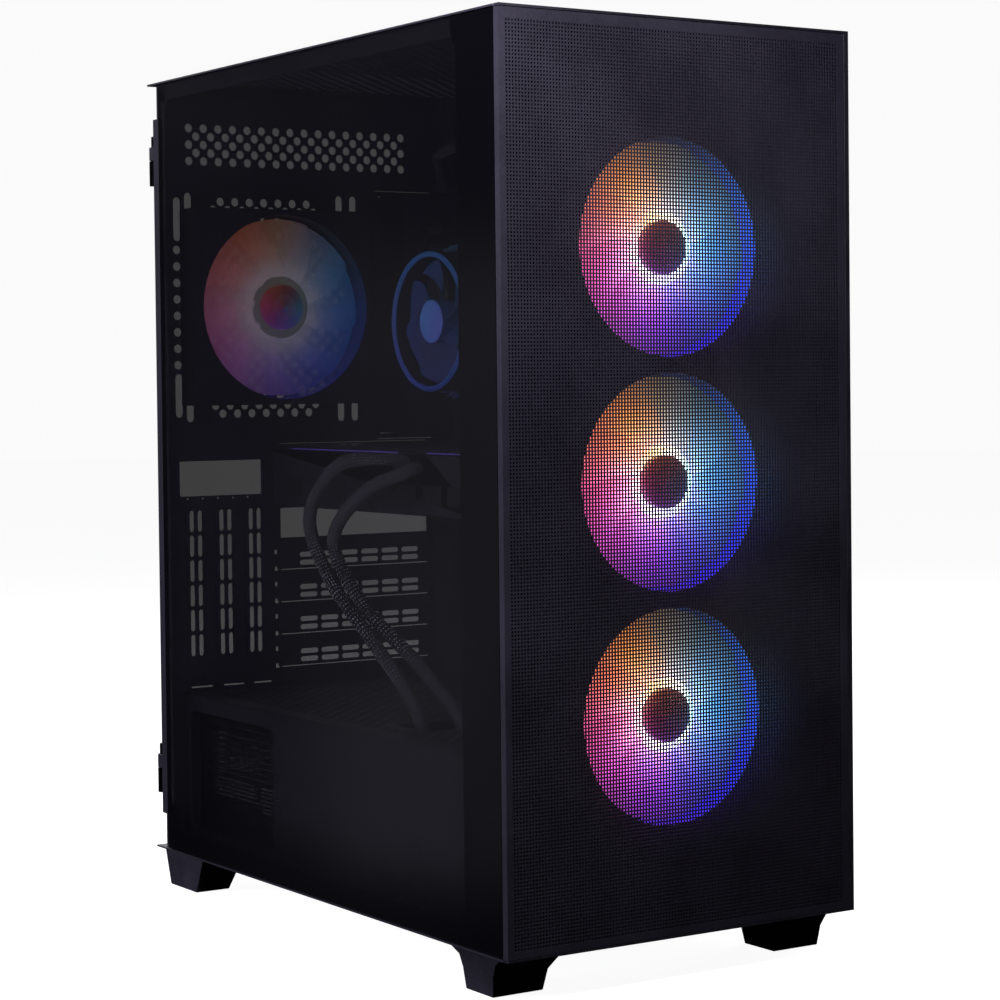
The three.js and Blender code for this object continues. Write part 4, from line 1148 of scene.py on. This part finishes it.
# Outlines of the ring's parts, as radius from the fan's axis and x.
ringLook = {
    "rim": [(38.7, 16.2), (39.4, 14.6), (40.3, 14.05), (41.2, 14.6), (42.0, 16.2)],
    "wall": [(38.9, 33.6), (38.9, 16.1), (41.8, 16.1), (41.8, 33.6)],
    "spokeX": (31, 33.4), "spokeHalf": 2, "spokeReach": 39.3,
    "hub": [(0.0, 18.0), (13, 18.0), (13, 30), (0.0, 30)],
    "disc": [(0.0, 17.1), (12.2, 17.1), (12.9, 17.6), (12.9, 18.4), (0.0, 18.4)],
}
rimShape = lathe(ringLook["rim"], coolerCentre, "x", 96, closed=True)
wallShape = lathe(ringLook["wall"], coolerCentre, "x", 96, closed=True)


def coolerSpokes(look):
    # two crossed bars through the fan's centre, behind the blades
    (back, front), half, reach = look["spokeX"], look["spokeHalf"], look["spokeReach"]
    y, z = coolerLook["y"], coolerLook["z"]
    return boxes([(back, y - reach, z - half), (back, y - half, z - reach)],
                 [(front, y + reach, z + half), (front, y + half, z + reach)])


addPiece("cooler_ring_wall", merged(wallShape, coolerSpokes(ringLook)), absPlastic, "chassis",
         ["cooler_ring"], smoothAngle=50)
addPiece("cooler_light_ring", rimShape, coolerRingLight, "chassis", smoothAngle=50)
coolerFan = {
    "bladeRoot": 12.6, "bladeTip": 36.8, "depth": 12.0, "blades": 7, "overlap": 0.86, "sweep": 0.5,
    "thickness": 1.2, "x": 23.5,
}
bladePoints, bladeFaces = bladeSet(coolerFan, coolerFan["bladeTip"], coolerFan["depth"], lean=-1)
coolerBlades = (np.stack([bladePoints[:, 1] + coolerFan["x"], bladePoints[:, 0] + coolerLook["y"],
                          bladePoints[:, 2] + coolerLook["z"]], -1), bladeFaces)
hubShape = lathe(ringLook["hub"], coolerCentre, "x", 48)
addPiece("cooler_blades", merged(coolerBlades, hubShape), coolerBladeLight, "processor_rotor",
         ["cooler_rotor"], smoothAngle=50)
hubCap = lathe(ringLook["disc"], coolerCentre, "x", 48)
addPiece("cooler_hub_disc", hubCap, coolerCapLight, "processor_rotor", smoothAngle=30)
print("motherboard and cooler done")

# ---- graphics card ----

rounded("graphics_board", blackAnodised, 0.2)
rounded("graphics_shroud", polishedPlastic, 1.2)
for node in ("graphics_rotor_1", "graphics_rotor_2"):
    rounded(node, absPlastic, 0.3, 50)
cardLook = {
    "panelX": (-34.7, -33.9), "panelStarts": (-44.0, 172.0, 27.0), "panelLength": 20, "panelZ": (236, 247),
    "stripX": (-34.5, -34.0), "stripY": [(30, 158), (-46, -2)], "stripZ": (264.8, 265.6),
}


def cardBoxes(xRange, yRanges, zRange):
    # one flat box along the card's side for each range of y
    return boxes([(xRange[0], y0, zRange[0]) for y0, y1 in yRanges],
                 [(xRange[1], y1, zRange[1]) for y0, y1 in yRanges])


panelRanges = [(start, start + cardLook["panelLength"]) for start in np.arange(*cardLook["panelStarts"])]
sidePanels = cardBoxes(cardLook["panelX"], panelRanges, cardLook["panelZ"])
addPiece("card_side_panels", sidePanels, absPlastic, "chassis", bevel=0.5)
rimLight = litPlastic("card_rim_light", {
    "base": "#3c2a78", "hues": ["#8f6cff", "#6a5cff", "#8f6cff", "#b070ff", "#8f6cff"],
    "centreLight": "#c090ff", "radius": 120.0, "plane": "YZ", "centre": (0, 60.0, 266.0), "strength": 1.1,
    "fade": [(0.0, 1.0), (0.7, 0.7), (1.0, 0.15)], "white": [(0.0, 0.3), (1.0, 0.0)]})
rims = cardBoxes(cardLook["stripX"], cardLook["stripY"], cardLook["stripZ"])
addPiece("card_rim_strip", rims, rimLight, "chassis", bevel=0.15)
print("graphics card done")

# ---- cables ----

cableRoutes = {
    "card_power_cable_1": {"radius": 3.9, "points": [
        (-29, 19, 257.6), (-44, 25, 261.5), (-62, 50, 258), (-67, 76, 228), (-62, 62, 192), (-59, 17, 158),
        (-55, -18, 128), (-52, -27, 109), (-32, -16, 93), (2, 14, 88), (22, 36, 84), (25, 53, 82)]},
    "card_power_cable_2": {"radius": 3.9, "points": [
        (-29, 7, 257.6), (-43, 8, 254), (-58, 30, 242), (-63, 55, 214), (-54, 37, 178), (-42, 0, 148),
        (-36, -34, 122), (-34, -40, 104), (-18, -32, 78), (8, 6, 70), (30, 34, 68), (34, 53, 68)]},
    "processor_power_cable": {"radius": 3.5, "points": [
        (46, 53, 62), (52, 32, 68), (74, -2, 80), (94, -7, 94), (100, 4, 128), (100, 60, 240),
        (100, 120, 370), (100, 134, 434), (95, 136, 450), (78, 142, 453), (72, 154, 448), (76, 159, 441),
        (77, 159.5, 433)]},
}
sleeveSides, sleeveSteps = 20, 140


def sleeveMap(mesh, columns, rows, radius, length):
    # u is the distance round the sleeve and v the distance along it, both in millimetres
    layer = mesh.uv_layers.new(name="sleeve")
    corner = np.zeros(len(mesh.loops), np.int32)
    mesh.loops.foreach_get("vertex_index", corner)
    column, row = corner % columns, corner // columns
    face = np.repeat(np.arange(len(mesh.polygons)), [p.loop_total for p in mesh.polygons])
    lastColumn = np.zeros(len(mesh.polygons), bool)
    np.logical_or.at(lastColumn, face, column == columns - 1)
    wraps = lastColumn[face] & (column == 0)
    u = (column + wraps * columns) / columns * 2 * math.pi * radius
    layer.data.foreach_set("uv", np.stack([u, row / (rows - 1) * length], -1).astype(np.float32).ravel())


for node, route in cableRoutes.items():
    path = smoothPath(route["points"], sleeveSteps)
    length = np.linalg.norm(np.diff(path, axis=0), axis=1).sum()
    sleeve = addPiece(node + "_sleeve", tube(path, route["radius"], sleeveSides), cableSleeve, "chassis",
                      [node], smoothAngle=60, tidy=False)
    sleeveMap(sleeve.data, sleeveSides, sleeveSteps, route["radius"], length)
print("cables done")

# ---- top controls ----

rounded("control_panel", absPlastic, 0.4)
rounded("power_button", polishedPlastic, 0.5, 50)
rounded("reset_button", polishedPlastic, 0.4, 50)
# Blue acetal tongues in the USB sockets.
blueAcetal = grainy("blue_acetal", {"dark": "#1d4fa8", "light": "#2a63c4", "rough": (0.3, 0.4), "grain": 1.0,
                                    "cloud": 6, "bump": 0.05, "height": 0.02})
tongueLook = {
    "roofX": (12.8, 29.8), "roofFrom": (-171.6, 486.1), "roofSize": (11.9, 1.7, 1.8),
    "rearX": (52.8, 62.8), "rearZ": (349.0, 303.0), "rearY": 188.8, "rearSize": (1.6, 1.8, 12.0),
}


def tongueShape(look):
    # a thin box in each socket: two lie flat in the roof and four stand upright at the rear
    roof = np.array([(x, *look["roofFrom"]) for x in look["roofX"]])
    rear = np.array([(x, look["rearY"], z) for z in look["rearZ"] for x in look["rearX"]])
    return merged(boxes(roof, roof + look["roofSize"]), boxes(rear, rear + look["rearSize"]))


addPiece("usb_tongues", tongueShape(tongueLook), blueAcetal, "chassis", bevel=0.15)

# ---- floor and light ----

# Pale studio floor: a painted board, even and matt, that glows a little so that it reads as white.
floorBoard, floorTree, floorShader = newMaterial("studio_floor", {
    "Roughness": 0.9, "Emission Color": (1, 1, 1, 1), "Emission Strength": 0.95})
floorNoise = addNode(floorTree, "ShaderNodeTexNoise", inputs={"Scale": 3.0})
floorTone = addRamp(floorTree, floorNoise.outputs["Fac"],
                    [(0.3, linear("#8c8c90")), (0.7, linear("#949498"))])
floorTree.links.new(floorTone.outputs["Color"], floorShader.inputs["Base Color"])
floorMesh = bpy.data.meshes.new("studio_floor")
fillMesh(floorMesh, *lathe([(0.0, 0.0), (9000.0, 0.0)], (0, 0, 0), "z", 96))
floor = bpy.data.objects.new("studio_floor", floorMesh)
bpy.context.scene.collection.objects.link(floor)
floorMesh.materials.append(floorBoard)
floor.visible_diffuse = False
floor.visible_glossy = False

# The camera sees a bright backdrop, and the object is lit and mirrored by a nearly dark one.
world = bpy.data.worlds.new("studio")
bpy.context.scene.world = world
world.use_nodes = True
sky = world.node_tree
sky.nodes.clear()
ray = addNode(sky, "ShaderNodeLightPath")
dim = addNode(sky, "ShaderNodeBackground", inputs={"Color": (0.85, 0.85, 1.0, 1), "Strength": 0.006})
bright = addNode(sky, "ShaderNodeBackground", inputs={"Color": (1, 1, 1, 1), "Strength": 0.96})
chosen = addNode(sky, "ShaderNodeMixShader", links={0: ray.outputs["Is Camera Ray"], 1: dim.outputs[0],
                                                    2: bright.outputs[0]})
addNode(sky, "ShaderNodeOutputWorld", links={"Surface": chosen.outputs[0]})


def addSoftbox(name, place, aim, size, power, colour="#ffffff", seen=True):
    # a rectangular lamp in metres and watts, turned to face its aim; unseen ones leave no reflection
    data = bpy.data.lights.new(name, "AREA")
    data.shape = "RECTANGLE"
    data.size, data.size_y = size
    data.energy = power
    data.color = linear(colour)[:3]
    lamp = bpy.data.objects.new(name, data)
    lamp.location = place
    lamp.rotation_euler = (Vector(aim) - Vector(place)).to_track_quat("-Z", "Y").to_euler()
    lamp.visible_camera = False
    lamp.visible_glossy = seen
    bpy.context.scene.collection.objects.link(lamp)


# Places and sizes are in metres. The glass stops nearly all of the light from outside, so the last lamp
# stands for that light just behind the pane.
softboxes = {
    "top_softbox": {"place": (-0.15, 0.15, 1.6), "aim": (0, 0.05, 0.4), "size": (0.9, 0.9), "power": 12,
                    "colour": "#f4f0ff"},
    "front_upper_left": {"place": (-0.30, -0.41, 0.71), "aim": (-0.04, -0.19, 0.38), "size": (0.14, 0.14),
                         "power": 7.9, "colour": "#ebe4ff"},
    "right_fill": {"place": (1.7, 0.3, 0.9), "aim": (0.1, 0, 0.25), "size": (1.0, 1.4), "power": 30},
    "rear_fill": {"place": (0.3, 1.8, 1.1), "aim": (0, 0, 0.25), "size": (1.4, 1.0), "power": 16},
    "left_band": {"place": (-0.95, 1.2, 0.1), "aim": (-0.11, -0.1, 0.2), "size": (0.25, 0.7), "power": 0.1,
                  "colour": "#eeecff"},
    "left_fill": {"place": (-1.3, 0.3, 0.5), "aim": (-0.1, 0.1, 0.2), "size": (0.6, 0.6), "power": 24,
                  "colour": "#eeecff", "seen": False},
    "behind_the_glass": {"place": (-0.1068, 0.018, 0.268), "aim": (0.0, 0.018, 0.268),
                         "size": (0.332, 0.436), "power": 5.4, "colour": "#ece6ff", "seen": False},
}
for name, look in softboxes.items():
    addSoftbox(name, **look)

scene = bpy.context.scene
scene.view_settings.view_transform = "Standard"
print("light and floor done")
